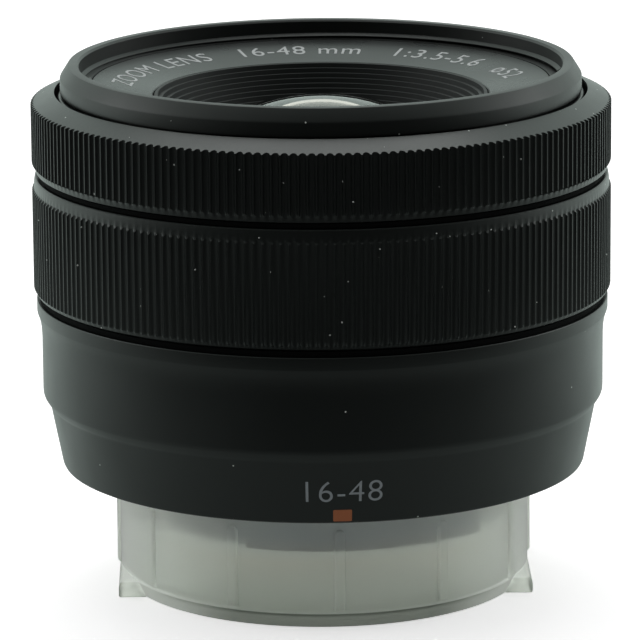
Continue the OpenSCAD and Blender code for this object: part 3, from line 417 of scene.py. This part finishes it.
mount_black = moulded("mount plastic", (14, 16, 16), (19, 21, 21), 0.38, 0.5, 0.06, 0.003)
inner_black = moulded("flat black plastic", (12, 13, 13), (17, 18, 18), 0.6, 0.75, 0.08, 0.006)
turned_steel = metal("turned steel", (150, 152, 154), (182, 184, 186), 0.3, 2500, 0.002, (1, 1, 0.1))
gilt = metal("gilt contact", (214, 170, 86), (236, 196, 116), 0.22, 4000, 0.001)
dressed(mount_black, "bayonet_mount")
dressed(inner_black, "contact_block", "rear_baffle")
dressed(turned_steel, "mount_screws")
dressed(gilt, "contact_pins")


# Rear barrel
# The fixed outer shell, moulded in black polycarbonate with a fine satin grain: a collar under
# the zoom ring, a plain middle, and a lower taper with printed numerals and a mounting index.
shell_black = moulded("satin shell", (9, 12, 11), (13, 16, 15), 0.34, 0.42, 0.07, 0.004, dusty=0.1)
rear_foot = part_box("rear_barrel")[0].z / MM
rear_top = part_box("rear_barrel")[1].z / MM
collar_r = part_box("rear_barrel")[1].x / MM
rear_r = collar_r - 0.5
taper_r = rear_r - 0.75
foot_r = taper_r - 1.25
taper_foot = rear_foot + 0.4
taper_head = taper_foot + 6.4
flange_bore = foot_r - 1.7
ledge_foot = rear_foot + 1.3
ledge_top = ledge_foot + 1.4
ledge_in = 22
bore_r = collar_r - 1.7
skirt_in = bore_r - 0.5
skirt_top = ledge_top + 5.2
root_in = bore_r - 1.4

outer_wall = [(foot_r - 0.4, rear_foot), (foot_r - 0.12, taper_foot - 0.26), (foot_r, taper_foot),
    (taper_r, taper_head), (taper_r + 0.2, taper_head + 0.32), (rear_r - 0.1, taper_head + 1.0),
    (rear_r - 0.02, taper_head + 1.25), (rear_r, taper_head + 1.6), (rear_r, rear_top - 4.25)]
flare = [(collar_r - 0.45, rear_top - 3.25), (collar_r - 0.36, rear_top - 2.55),
    (collar_r - 0.22, rear_top - 1.95), (collar_r - 0.04, rear_top - 1.45)]
collar = [(collar_r, rear_top - 1.3), (collar_r, rear_top - 0.07), (collar_r - 0.06, rear_top)]
inner_wall = [(bore_r, rear_top), (bore_r, skirt_top), (skirt_in, skirt_top), (skirt_in, ledge_top + 2.9),
    (root_in, ledge_top + 2.5), (root_in, ledge_top), (ledge_in, ledge_top), (ledge_in, ledge_foot),
    (flange_bore, ledge_foot), (flange_bore, rear_foot)]
rear = turned("rear_barrel_shell", [(flange_bore, rear_foot)] + outer_wall + flare + collar + inner_wall)
finished(rear, shell_black, "barrel", "shell_black", "rear_barrel", angle=24)


# Markings on the rear barrel
# Grey numerals and an orange mounting index, pad-printed on the lower taper at the front.
# The ink lies on the plastic as a very thin layer, half of it below the surface here.
print_thick = 0.04
capital_share = 0.7


def lettering(name, words, height, spacing=1.0, thinner=0.0):
    """Flat lettering as a mesh, centred on the origin, with capitals of that height in millimetres."""
    bpy.ops.object.select_all(action="DESELECT")
    bpy.ops.object.text_add()
    piece = bpy.context.object
    piece.data.body = words
    piece.data.align_x = "CENTER"
    piece.data.align_y = "CENTER"
    piece.data.space_character = spacing
    piece.data.size = height / capital_share * MM
    piece.data.resolution_u = 6
    piece.data.offset = -thinner * MM
    bpy.ops.object.convert(target="MESH")
    return start(name)


def raised(thickness):
    """Gives the flat print in hand a thickness, half of it below the surface that it lies on."""
    bpy.ops.object.mode_set(mode="EDIT")
    bpy.ops.mesh.select_all(action="SELECT")
    bpy.ops.mesh.remove_doubles(threshold=WELD * MM)
    bpy.ops.mesh.extrude_region_move(TRANSFORM_OT_translate={"value": (0, 0, thickness * MM)})
    bpy.ops.mesh.select_all(action="SELECT")
    bpy.ops.transform.translate(value=(0, 0, -thickness / 2 * MM))
    bpy.ops.mesh.normals_make_consistent(inside=False)
    bpy.ops.object.mode_set(mode="OBJECT")


def wrapped_on_taper(piece, middle, aside):
    """Lays flat print round the front of the taper, its middle at that height and that far aside."""
    slope = (taper_r - foot_r) / (taper_head - taper_foot)
    for v in piece.data.vertices:
        z = middle + v.co.y / MM
        r = foot_r + slope * (z - taper_foot) + v.co.z / MM
        a = (v.co.x / MM + aside) / (foot_r + slope * (middle - taper_foot))
        v.co = (r * math.sin(a) * MM, -r * math.cos(a) * MM, z * MM)


numeral_h = 2.4
numeral_row = 8.06
numeral_z = 16.83
numeral_aside = -0.3
numerals = lettering("zoom_numerals", "16-48", numeral_h, 1.08, 0.035)
wide = numerals.dimensions.x / MM
bpy.ops.transform.resize(value=(numeral_row / wide, 1, 1))
bpy.ops.object.transform_apply(location=True, rotation=True, scale=True)
raised(print_thick)
wrapped_on_taper(numerals, numeral_z, numeral_aside)
print_grey = moulded("grey print", (128, 136, 140), (140, 147, 150), 0.5, 0.6, 0.09, 0.003)
finished(numerals, print_grey, "barrel", "shell_black")

index_w = 1.96
index_h = 1.3
index_round = 0.12
index_z = 14.24
index_aside = -0.15
bpy.ops.object.select_all(action="DESELECT")
bpy.ops.mesh.primitive_plane_add(size=1)
index = start("mounting_index")
bpy.ops.transform.resize(value=(index_w * MM, index_h * MM, 1))
bpy.ops.object.transform_apply(location=True, rotation=True, scale=True)
bpy.ops.object.mode_set(mode="EDIT")
bpy.ops.mesh.bevel(offset=index_round * MM, segments=3, affect="VERTICES")
bpy.ops.object.mode_set(mode="OBJECT")
raised(print_thick)
wrapped_on_taper(index, index_z, index_aside)
index_orange = moulded("orange print", (150, 84, 44), (166, 94, 50), 0.5, 0.6, 0.09, 0.003)
finished(index, index_orange, "barrel", "shell_black")


# Grip rings
# The zoom ring and the control ring, moulded in black plastic with 210 upright flutes each.
# Shallow round flutes with arched ends leave narrow flat ridges; the control ring ends in a bare cone.
flute_n = 210
ring_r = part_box("zoom_ring")[1].x / MM
ring_in = ring_r - 1.1
half_pitch = math.pi / flute_n
ridge_round = 0.03
ring_weld = 0.012
sliver = 0.01


def flute_section(deep, radius):
    """One pitch of round flutes from ridge middle to ridge middle, as (x, y) points round +X."""
    middle = ring_r - deep + radius
    reach = math.acos((middle ** 2 + radius ** 2 - ring_r ** 2) / (2 * middle * radius))
    edge = radius * math.sin(reach) / ring_r + ridge_round / ring_r
    side = [(ring_r * math.cos(a), ring_r * math.sin(a)) for a in (half_pitch, edge)]
    floor = [(middle - radius * math.cos(k * reach), radius * math.sin(k * reach))
        for k in (0.9, 0.62, 0.3, 0)]
    upper = side + floor
    return [(x, -y) for x, y in upper] + [(x, y) for x, y in upper[-2::-1]]


def fluted_sector(name, z, deep, radius):
    """Starts a ring with the outline of one flute at that height, all of it selected in edit mode."""
    bpy.ops.object.select_all(action="DESELECT")
    bpy.ops.mesh.primitive_plane_add(size=MM)
    piece = start(name)
    bpy.ops.object.mode_set(mode="EDIT")
    bpy.ops.mesh.merge(type="CENTER")
    points = flute_section(deep, radius)
    x, y = points[0]
    bpy.ops.transform.translate(value=(x * MM, y * MM, z * MM))
    for x_next, y_next in points[1:]:
        move = ((x_next - x) * MM, (y_next - y) * MM, 0)
        bpy.ops.mesh.extrude_region_move(TRANSFORM_OT_translate={"value": move})
        x, y = x_next, y_next
    bpy.ops.mesh.select_all(action="SELECT")
    return piece


def row(rise, band, keep):
    """Draws the selected outline up or down, and flattens its flutes towards a plain band to that share."""
    bpy.ops.mesh.extrude_region_move(TRANSFORM_OT_translate={"value": (0, 0, rise * MM)})
    if keep < 1:
        bpy.ops.transform.resize(value=(keep, 1, 1), center_override=(band * math.cos(half_pitch) * MM, 0, 0))


def step(rise, out):
    """Draws a plain outline up or down and out from the axis."""
    bpy.ops.mesh.extrude_region_move(TRANSFORM_OT_translate={"value": (out * MM, 0, rise * MM)})


def ring_round():
    """Copies the finished sector all the way round the axis and welds it."""
    bpy.ops.mesh.select_all(action="SELECT")
    bpy.ops.mesh.spin(steps=flute_n - 1, dupli=True, angle=math.tau * (flute_n - 1) / flute_n,
        center=(0, 0, 0), axis=(0, 0, 1))
    bpy.ops.mesh.select_all(action="SELECT")
    bpy.ops.mesh.remove_doubles(threshold=ring_weld * MM)


def drawn_in(piece, z, radius, drop=0.0):
    """Draws the open edge at height z in to a radius, and then up or down by the drop."""
    pick(piece, lambda co: abs(co.z - z * MM) < sliver * MM)
    mesh = bmesh.from_edit_mesh(piece.data)
    now = max(math.hypot(v.co.x, v.co.y) for v in mesh.verts if v.select) / MM
    bpy.ops.mesh.extrude_region_move()
    bpy.ops.transform.resize(value=(radius / now, radius / now, 1), center_override=(0, 0, z * MM))
    if drop:
        bpy.ops.mesh.extrude_region_move(TRANSFORM_OT_translate={"value": (0, 0, drop * MM)})


grip_black = moulded("fluted grip", (10, 13, 12), (14, 17, 16), 0.31, 0.39, 0.07, 0.003, dusty=1.0)
zoom_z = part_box("zoom_ring")[0].z / MM
zoom_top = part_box("zoom_ring")[1].z / MM
foot_band = ring_r - 0.25
head_band = ring_r - 0.2
flute_start = zoom_z + 0.64
flute_end = zoom_top - 1.5
band_foot = zoom_top - 1.18


def deeper(co, inward):
    """Whether a point lies further in than that from the ridges of a ring."""
    return math.hypot(co.x, co.y) < (ring_r - inward) * MM


zoom_ring = fluted_sector("zoom_grip_ring", flute_start, deep=0.28, radius=0.4)
row(flute_end - flute_start, ring_r, 1)
for inward, rise in ((0.05, 0.08), (0.14, 0.07), (0.24, 0.05)):
    pick(zoom_ring, lambda co: co.z > (flute_end - sliver) * MM and deeper(co, inward))
    bpy.ops.transform.translate(value=(0, 0, rise * MM))
pick(zoom_ring, lambda co: co.z > (flute_end - sliver) * MM)
row(0.06, head_band, 0.5)
row(0.05, head_band, 0)
bpy.ops.transform.resize(value=(1, 1, 0), center_override=(0, 0, band_foot * MM))
step(0.58, -0.02)
step(0.5, -0.08)
step(0.1, -0.12)
pick(zoom_ring, lambda co: co.z < (flute_start + sliver) * MM)
row(-0.11, foot_band, 0.5)
row(-0.05, foot_band, 0)
step(-0.28, -0.03)
step(-0.2, -0.3)
ring_round()
drawn_in(zoom_ring, zoom_top, ring_in)
drawn_in(zoom_ring, zoom_z, ring_in, zoom_top - zoom_z)
close_up()
finished(zoom_ring, grip_black, "zoom_grip", "shell_black", "zoom_ring", angle=38)

control_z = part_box("control_ring")[0].z / MM
control_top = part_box("control_ring")[1].z / MM
cone_h = 1.2
lip_r = 28.75
cone_foot = control_top - cone_h
lip_z = cone_foot - 0.25
lip_ease = 0.06
lip_rise = 0.03
overrun = 0.4
foot_band = ring_r - 0.3
flute_start = control_z + 0.94
band_top = control_z + 0.56

control_ring = fluted_sector("control_grip_ring", flute_start, deep=0.36, radius=0.37)
row(control_top + overrun - flute_start, ring_r, 1)
bpy.ops.mesh.select_all(action="SELECT")
bpy.ops.mesh.bisect(plane_co=(ring_r * MM, 0, cone_foot * MM), clear_outer=True,
    plane_no=Vector((cone_h, 0, ring_r - lip_r)).normalized())
pick(control_ring, lambda co: co.z > (cone_foot - 0.05) * MM)
bpy.ops.mesh.extrude_region_move()
bpy.ops.transform.resize(value=(0, lip_r / ring_r, 0),
    center_override=((lip_r + lip_ease) * math.cos(half_pitch) * MM, 0, (control_top - lip_rise) * MM))
step(lip_rise, -lip_ease)
for inward, dip in ((0.05, 0.1), (0.14, 0.08), (0.24, 0.06)):
    pick(control_ring, lambda co: co.z < (flute_start + sliver) * MM and deeper(co, inward))
    bpy.ops.transform.translate(value=(0, 0, -dip * MM))
pick(control_ring, lambda co: co.z < (flute_start + sliver) * MM)
row(-0.05, foot_band, 0.5)
row(-0.05, foot_band, 0)
bpy.ops.transform.resize(value=(1, 1, 0), center_override=(0, 0, band_top * MM))
step(-0.46, -0.08)
step(-0.1, -0.2)
ring_round()
pick(control_ring, lambda co: co.z > (control_top - sliver) * MM)
bpy.ops.mesh.extrude_region_move(TRANSFORM_OT_translate={"value": (0, 0, (lip_z - control_top) * MM)})
bpy.ops.mesh.extrude_region_move()
bpy.ops.transform.resize(value=(ring_in / lip_r, ring_in / lip_r, 1), center_override=(0, 0, lip_z * MM))
bpy.ops.mesh.extrude_region_move(TRANSFORM_OT_translate={"value": (0, 0, (control_z - lip_z) * MM)})
drawn_in(control_ring, control_z, ring_in)
close_up()
control_black = moulded("fluted control grip", (15, 18, 17), (19, 22, 21), 0.32, 0.4, 0.07, 0.003,
    dusty=1.0)
finished(control_ring, control_black, "control_grip", "shell_black", "control_ring", angle=38)


# Middle barrel
# The first stage of the extension, a thin tube moulded in satin black plastic. It slides between
# the fixed sleeve and the front barrel, on pins that follow the cam.
def eased(piece, width, steps=2, angle=28):
    """Breaks every crisp edge of the piece with a small round of that width in millimetres."""
    bpy.context.view_layer.objects.active = piece
    ease = piece.modifiers.new("eased edges", "BEVEL")
    ease.width = width * MM
    ease.segments = steps
    ease.limit_method = "ANGLE"
    ease.angle_limit = math.radians(angle)
    bpy.ops.object.modifier_apply(modifier=ease.name)


tube_black = moulded("satin tube", (10, 11, 11), (14, 15, 15), 0.32, 0.42, 0.05, 0.002)
mid_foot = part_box("mid_barrel")[0].z / MM
mid_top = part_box("mid_barrel")[1].z / MM
mid_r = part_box("mid_barrel")[1].x / MM
mid_in = mid_r - 0.8
mid = turned("middle_barrel", [(mid_in, mid_foot), (mid_r, mid_foot), (mid_r, mid_top - 0.3),
    (mid_r - 0.06, mid_top - 0.1), (mid_r - 0.22, mid_top), (mid_in, mid_top), (mid_in, mid_foot)])
eased(mid, 0.08)
finished(mid, tube_black, "middle", "shell_black", "mid_barrel")


# Front barrel
# The moving front tube with its rim: a plain land, a broad chamfer and a helical filter thread
# inside. Moulded in black plastic, with the thread cut to a standard 52 mm filter.
rim_black = moulded("satin rim", (9, 11, 10), (13, 15, 14), 0.36, 0.46, 0.06, 0.003, dusty=0.15)
front_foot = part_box("front_barrel")[0].z / MM
rim_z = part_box("front_barrel")[1].z / MM
rim_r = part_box("front_barrel")[1].x / MM
front_r = mid_in - 0.25
front_in = front_r - 0.9
thread_r = rim_r - 2.45
thread_root = thread_r + 0.4
thread_pitch = 0.75
name_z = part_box("name_ring")[1].z / MM
name_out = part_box("name_ring")[1].x / MM
seat_r = name_out + 0.05
web_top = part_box("name_ring")[0].z / MM - 0.6
inner_r = 23.9
inner_in = 22.9
web_foot = web_top - 0.7
skirt_foot = front_foot + 1
rim_foot = control_top - 0.05

tube = [(inner_in, front_foot), (inner_r, front_foot), (inner_r, web_foot), (front_in, web_foot),
    (front_in, skirt_foot), (front_r, skirt_foot), (front_r, rim_foot)]
land = [(rim_r - 0.1, rim_foot), (rim_r, control_top + 0.05), (rim_r, rim_z - 1.5),
    (rim_r - 0.04, rim_z - 1.38)]
chamfer = [(rim_r - 0.12, rim_z - 1.24), (rim_r - 0.83, rim_z - 0.12), (rim_r - 0.9, rim_z - 0.04),
    (rim_r - 1.0, rim_z)]
mouth = [(thread_r + 0.62, rim_z), (thread_r + 0.54, rim_z - 0.06), (thread_root, rim_z - 0.24),
    (thread_root, name_z), (seat_r, name_z), (seat_r, web_top), (inner_in, web_top), (inner_in, front_foot)]
front = turned("front_barrel_tube", tube + land + chamfer + mouth)
finished(front, rim_black, "front", "rim_black", "front_barrel", angle=24)

bpy.ops.object.select_all(action="DESELECT")
bpy.ops.mesh.primitive_plane_add(size=MM)
thread = start("filter_thread")
bpy.ops.object.mode_set(mode="EDIT")
bpy.ops.mesh.merge(type="CENTER")
thread_foot = name_z + 0.02
bpy.ops.transform.translate(value=((thread_root + 0.05) * MM, 0, thread_foot * MM))
for out, up in ((-0.4, 0.27), (-0.05, 0.05), (0, 0.06), (0.05, 0.05), (0.4, 0.27)):
    bpy.ops.mesh.extrude_region_move(TRANSFORM_OT_translate={"value": (out * MM, 0, up * MM)})
bpy.ops.mesh.select_all(action="SELECT")
bpy.ops.mesh.screw(steps=160, turns=1, center=(0, 0, 0), axis=(0, 0, thread_pitch * MM))
close_up()
finished(thread, rim_black, "front", "rim_black", angle=24)


# Name ring
# A turned ring, sprayed satin black, that drops into the front barrel and falls towards the glass.
# Pale figures are printed round its far half.
name_black = moulded("dark name ring", (26, 28, 28), (32, 34, 34), 0.24, 0.32, 0.08, 0.002)
name_in = 18.1
name_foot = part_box("name_ring")[0].z / MM
name_low = name_z - 1.42
ring = turned("name_ring_plate", [(name_in, name_foot), (name_out, name_foot), (name_out, name_z - 0.06),
    (name_out - 0.1, name_z - 0.02), (name_in + 0.1, name_low + 0.02), (name_in, name_low - 0.08),
    (name_in, name_foot)])
finished(ring, name_black, "front", "name_grey", "name_ring")

figure_h = 2.25
figures = lettering("name_ring_figures", "ZOOM LENS   16-48 mm   1:3.5-5.6   ø52", figure_h, 1.1)
raised(print_thick)
text_r = (name_out + name_in) / 2 + 0.1
ring_fall = (name_z - name_low) / (name_out - name_in)
for v in figures.data.vertices:
    r = text_r + v.co.y / MM
    a = math.pi / 2 - v.co.x / MM / text_r
    v.co = (r * math.cos(a) * MM, r * math.sin(a) * MM, (name_low + ring_fall * (r - name_in)) * MM + v.co.z)
figure_white = moulded("pale figures", (176, 180, 180), (188, 192, 192), 0.5, 0.6, 0.09, 0.003)
finished(figures, figure_white, "front", "name_grey")


# Front glass and its stepped cone
# A strongly curved front element, ground in optical glass and coated, behind a moulded black cone
# whose steps trap stray light. Nine more elements sit in their cells behind it.
step_black = moulded("stepped cone", (11, 14, 14), (16, 19, 19), 0.55, 0.68, 0.08, 0.004)
dressed(step_black, "front_retainer")


def coated(name, tint, film):
    """Clear coated optical glass, its tint changing in slow patches between two near colours."""
    material, tree, shader = finish_of(name, Roughness=0.0, IOR=1.6, Specular_IOR_Level=0.4,
        Transmission_Weight=1.0)
    skin = node(tree, "ShaderNodeGroup", node_tree=grain)
    skin.inputs["Patch Scale"].default_value = 60
    tone = node(tree, "ShaderNodeMix", {"Factor": skin.outputs["Patches"]}, data_type="RGBA")
    tone.inputs["A"].default_value = srgb(*tint)
    tone.inputs["B"].default_value = srgb(*film)
    tree.links.new(tone.outputs["Result"], shader.inputs["Base Color"])
    return material


front_glass = coated("coated front glass", (228, 226, 212), (234, 232, 220))
inner_glass = coated("coated inner glass", (226, 236, 234), (234, 240, 238))


def sphere_cap(curve, apex, reach, steps=18):
    """Points from the axis out to a reach on a sphere of that radius with its top at that height."""
    radii = [reach * k / steps for k in range(steps + 1)]
    return [(r, apex - math.copysign(abs(curve) - math.sqrt(curve ** 2 - r ** 2), curve)) for r in radii]


glass_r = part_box("front_element")[1].x / MM
glass_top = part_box("front_element")[1].z / MM
glass_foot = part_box("front_element")[0].z / MM
edge_round = 0.08
front_curve, bowl_curve = 23.4, 12.5
glass_edge = glass_foot + 2.85
bowl_top = glass_top - 1.7
bowl_r = 10.4
bowl = sphere_cap(bowl_curve, bowl_top, bowl_r)
front_lens = turned("front_glass", sphere_cap(front_curve, glass_top, glass_r - edge_round)
    + [(glass_r, glass_edge), (glass_r, glass_foot + edge_round), (glass_r - edge_round, glass_foot)]
    + bowl[::-1])
finished(front_lens, front_glass, "front", "glass", "front_element", angle=24)

second_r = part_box("second_element")[1].x / MM
second_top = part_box("second_element")[1].z / MM
second_foot = glass_foot - 1.6
second_curve, hollow_curve = 40, 30
hollow_top = second_foot + hollow_curve - math.sqrt(hollow_curve ** 2 - second_r ** 2)
hollow = sphere_cap(hollow_curve, hollow_top, second_r - edge_round)
second_lens = turned("second_glass", sphere_cap(second_curve, second_top, second_r - edge_round)
    + [(second_r, glass_foot - 0.6), (second_r, second_foot + 0.1)] + hollow[::-1])
finished(second_lens, inner_glass, "front", "glass", "second_element", angle=24)

third_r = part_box("third_element")[1].x / MM
third_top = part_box("third_element")[1].z / MM
third_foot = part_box("third_element")[0].z / MM
third_curve = 24
third_lens = turned("third_glass", sphere_cap(third_curve, third_top, third_r - edge_round)
    + [(third_r, third_foot + 1.3), (third_r, third_foot + edge_round), (third_r - edge_round, third_foot),
    (0, third_foot)])
finished(third_lens, inner_glass, "front", "glass", "third_element", angle=24)
dressed(inner_glass, "fourth_element", "cemented_doublet", "shift_element", "focus_element", "ninth_element",
    "rear_element")


# Inner works
# Frames and cells moulded in flat black plastic, drums turned in anodised alloy, steel pins, rods,
# screws and motor cans, a brass pinion, painted blades, wound coils, a coated circuit board, and
# the matt sleeve and washers that the grip rings turn on, coloured near black as painted shade in the gaps.
alloy = metal("anodised alloy", (70, 71, 73), (84, 85, 87), 0.38, 1800, 0.002, (0.05, 0.05, 1))
brass = metal("turned brass", (176, 140, 70), (204, 168, 92), 0.28, 3000, 0.002)
copper = metal("wound copper", (170, 96, 52), (202, 122, 70), 0.35, 5000, 0.01, (0.05, 0.05, 1))
blade_black = metal("painted blade", (26, 26, 27), (34, 34, 35), 0.5, 2600, 0.001, (1, 0.1, 1))
felt = moulded("flock seal", (9, 9, 9), (15, 15, 15), 0.85, 0.95, 0.03, 0.02)
board_green = moulded("solder mask", (14, 70, 44), (22, 88, 56), 0.25, 0.4, 0.4, 0.01)
# Painted shade: near black and barely reflecting, so the gaps between the rings where these show read as deep
# shade
gap_shade_black = moulded("matt sleeve and washers", (4, 5, 5), (7, 8, 8), 0.85, 0.95, 0.08, 0.004,
    Specular_IOR_Level=0.1)
dressed(inner_black, "rear_frame", "front_cell", "group_frame", "iris_base", "iris_cover", "iris_ring",
    "shift_carriage", "shift_frame", "focus_frame")
dressed(gap_shade_black, "fixed_barrel", "ring_washers")
dressed(alloy, "guide_barrel", "cam_barrel")
dressed(turned_steel, "guide_rods", "focus_motor", "guide_screws", "zoom_motor", "control_ring_clip",
    "return_springs", "mid_pins", "front_pins", "cell_screws", "group_pins", "iris_motor", "shift_magnets",
    "lead_screw")
dressed(brass, "drive_pinion")
dressed(copper, "shift_coils")
dressed(blade_black, *[f"iris_blade_{i}" for i in range(1, 8)])
dressed(felt, "dust_seal")
dressed(board_green, "main_board")


# Table, light and camera
# A pale table in a white studio, soft light from the sides and above, a dark front behind the camera,
# and a long lens a little above the object.
bpy.ops.object.select_all(action="DESELECT")
bpy.ops.mesh.primitive_plane_add(size=3, location=(0, 0.6, 0))
table = start("table")
bpy.ops.object.transform_apply(location=True, rotation=True, scale=True)

# The camera sees the paper as evenly white. Rays through the cap see it glow as painted light, darker behind
# the middle.
# In reflections it is painted a little cool, glows faintly, and fades into a painted dusk towards the near
# side of the table.
paper_white = (0.86, 0.86, 0.86, 1)
cool_white = (0.86, 1, 0.94, 1)
shine_share = 0.4
paper_lift = 0.61
paper, tree, shader = finish_of("white paper", Roughness=0.9, Specular_IOR_Level=0.0)
path = node(tree, "ShaderNodeLightPath")
mirrored = node(tree, "ShaderNodeMath", {0: path.outputs["Is Glossy Ray"],
    1: path.outputs["Is Transmission Ray"]}, operation="SUBTRACT", use_clamp=True)
place = node(tree, "ShaderNodeTexCoord")
split = node(tree, "ShaderNodeSeparateXYZ", {"Vector": place.outputs["Object"]})
# Painted shade: in reflections the paper darkens towards the near side of the table
dusk = node(tree, "ShaderNodeMapRange", {"Value": split.outputs["Y"], "From Min": -0.12, "From Max": 0.1,
    "To Min": 0.06, "To Max": 0.95}, interpolation_type="SMOOTHSTEP")
shade = node(tree, "ShaderNodeMix", {"Factor": mirrored.outputs[0], "A": 1.0, "B": dusk.outputs["Result"]},
    data_type="FLOAT")
tone = node(tree, "ShaderNodeMix", {"Factor": shade.outputs["Result"], "A": (0, 0, 0, 1),
    "B": paper_white}, data_type="RGBA")
cool = node(tree, "ShaderNodeMix", {"Factor": mirrored.outputs[0], "A": (1, 1, 1, 1), "B": cool_white},
    data_type="RGBA")
tinted = node(tree, "ShaderNodeMix", {"Factor": 1.0, "A": tone.outputs["Result"],
    "B": cool.outputs["Result"]}, data_type="RGBA", blend_type="MULTIPLY")
# Painted light: in reflections the paper also glows faintly, fading with that painted shade
shine = node(tree, "ShaderNodeMath", {0: mirrored.outputs[0], 1: dusk.outputs["Result"]},
    operation="MULTIPLY")
faint = node(tree, "ShaderNodeMath", {0: shine.outputs[0], 1: shine_share}, operation="MULTIPLY")
across = node(tree, "ShaderNodeMath", {0: split.outputs["X"]}, operation="ABSOLUTE")
# Painted light: rays through the cap see the paper glow, less behind its middle than to the sides
behind = node(tree, "ShaderNodeMapRange", {"Value": across.outputs[0], "From Min": 0.009, "From Max": 0.027,
    "To Min": 0.28, "To Max": 0.7}, interpolation_type="SMOOTHSTEP")
clear = node(tree, "ShaderNodeMath", {0: path.outputs["Is Transmission Ray"], 1: behind.outputs["Result"],
    2: faint.outputs[0]}, operation="MULTIPLY_ADD")
lift = node(tree, "ShaderNodeMath", {0: path.outputs["Is Camera Ray"], 1: paper_lift, 2: clear.outputs[0]},
    operation="MULTIPLY_ADD")
tree.links.new(tinted.outputs["Result"], shader.inputs["Base Color"])
tree.links.new(cool.outputs["Result"], shader.inputs["Emission Color"])
tree.links.new(lift.outputs[0], shader.inputs["Emission Strength"])
table.data.materials.append(paper)

# The studio is white behind the object and dark behind the camera
soft_share = 0.75
world = bpy.data.worlds.new("studio")
bpy.context.scene.world = world
world.use_nodes = True
tree = world.node_tree
sky = tree.nodes["Background"]
toward = node(tree, "ShaderNodeTexCoord")
split = node(tree, "ShaderNodeSeparateXYZ", {"Vector": toward.outputs["Generated"]})
depth = node(tree, "ShaderNodeMapRange", {"Value": split.outputs["Y"], "From Min": -0.9, "From Max": 0.5,
    "To Min": 0.05, "To Max": 0.95}, interpolation_type="SMOOTHSTEP")
path = node(tree, "ShaderNodeLightPath")
soft = node(tree, "ShaderNodeMath", {0: depth.outputs["Result"], 1: soft_share}, operation="MULTIPLY")
studio = node(tree, "ShaderNodeMix", {"Factor": path.outputs["Is Diffuse Ray"], "A": depth.outputs["Result"],
    "B": soft.outputs[0]}, data_type="FLOAT")
glow = node(tree, "ShaderNodeMix", {"Factor": path.outputs["Is Camera Ray"],
    "A": studio.outputs["Result"], "B": 1.0}, data_type="FLOAT")
tree.links.new(glow.outputs["Result"], sky.inputs["Strength"])
mirrored = node(tree, "ShaderNodeMath", {0: path.outputs["Is Glossy Ray"],
    1: path.outputs["Is Transmission Ray"]}, operation="SUBTRACT", use_clamp=True)
cool = node(tree, "ShaderNodeMix", {"Factor": mirrored.outputs[0], "A": (1, 1, 1, 1), "B": cool_white},
    data_type="RGBA")
tree.links.new(cool.outputs["Result"], sky.inputs["Color"])


def lamp(name, size, power, spot, aim):
    """A soft square lamp at a spot, in metres, that faces a point."""
    light = bpy.data.lights.new(name, "AREA")
    light.shape = "SQUARE"
    light.size = size
    light.energy = power
    holder = bpy.data.objects.new(name, light)
    bpy.context.scene.collection.objects.link(holder)
    holder.location = spot
    holder.rotation_mode = "QUATERNION"
    holder.rotation_quaternion = (Vector(spot) - Vector(aim)).to_track_quat("Z", "Y")


lamp("left softbox", size=0.5, power=1.0, spot=(-0.75, 0.15, 0.35), aim=(0, 0, 0.03))
lamp("right softbox", size=0.5, power=1.0, spot=(0.75, 0.15, 0.35), aim=(0, 0, 0.03))
lamp("overhead softbox", size=0.6, power=2.0, spot=(0, 0.25, 0.8), aim=(0, 0, 0.05))

camera = bpy.data.objects.new("camera", bpy.data.cameras.new("camera"))
bpy.context.scene.collection.objects.link(camera)
bpy.context.scene.camera = camera
camera_reach = 0.5492
camera_height = 0.1566
camera_side = math.radians(-4.2)
camera_dip = 0.2287
camera_roll = 0.0073
camera.location = (camera_reach * math.sin(camera_side), -camera_reach * math.cos(camera_side), camera_height)
camera.rotation_mode = "XYZ"
turn = Euler((math.pi / 2 - camera_dip, 0, camera_side)).to_quaternion()
camera.rotation_euler = (turn @ Euler((0, 0, -camera_roll)).to_quaternion()).to_euler()
camera.data.sensor_width = 36
camera.data.lens = 291.19
camera.data.shift_x = -0.0039
camera.data.shift_y = -0.0033
camera.data.clip_end = 10
bpy.context.scene.view_settings.view_transform = "Standard"
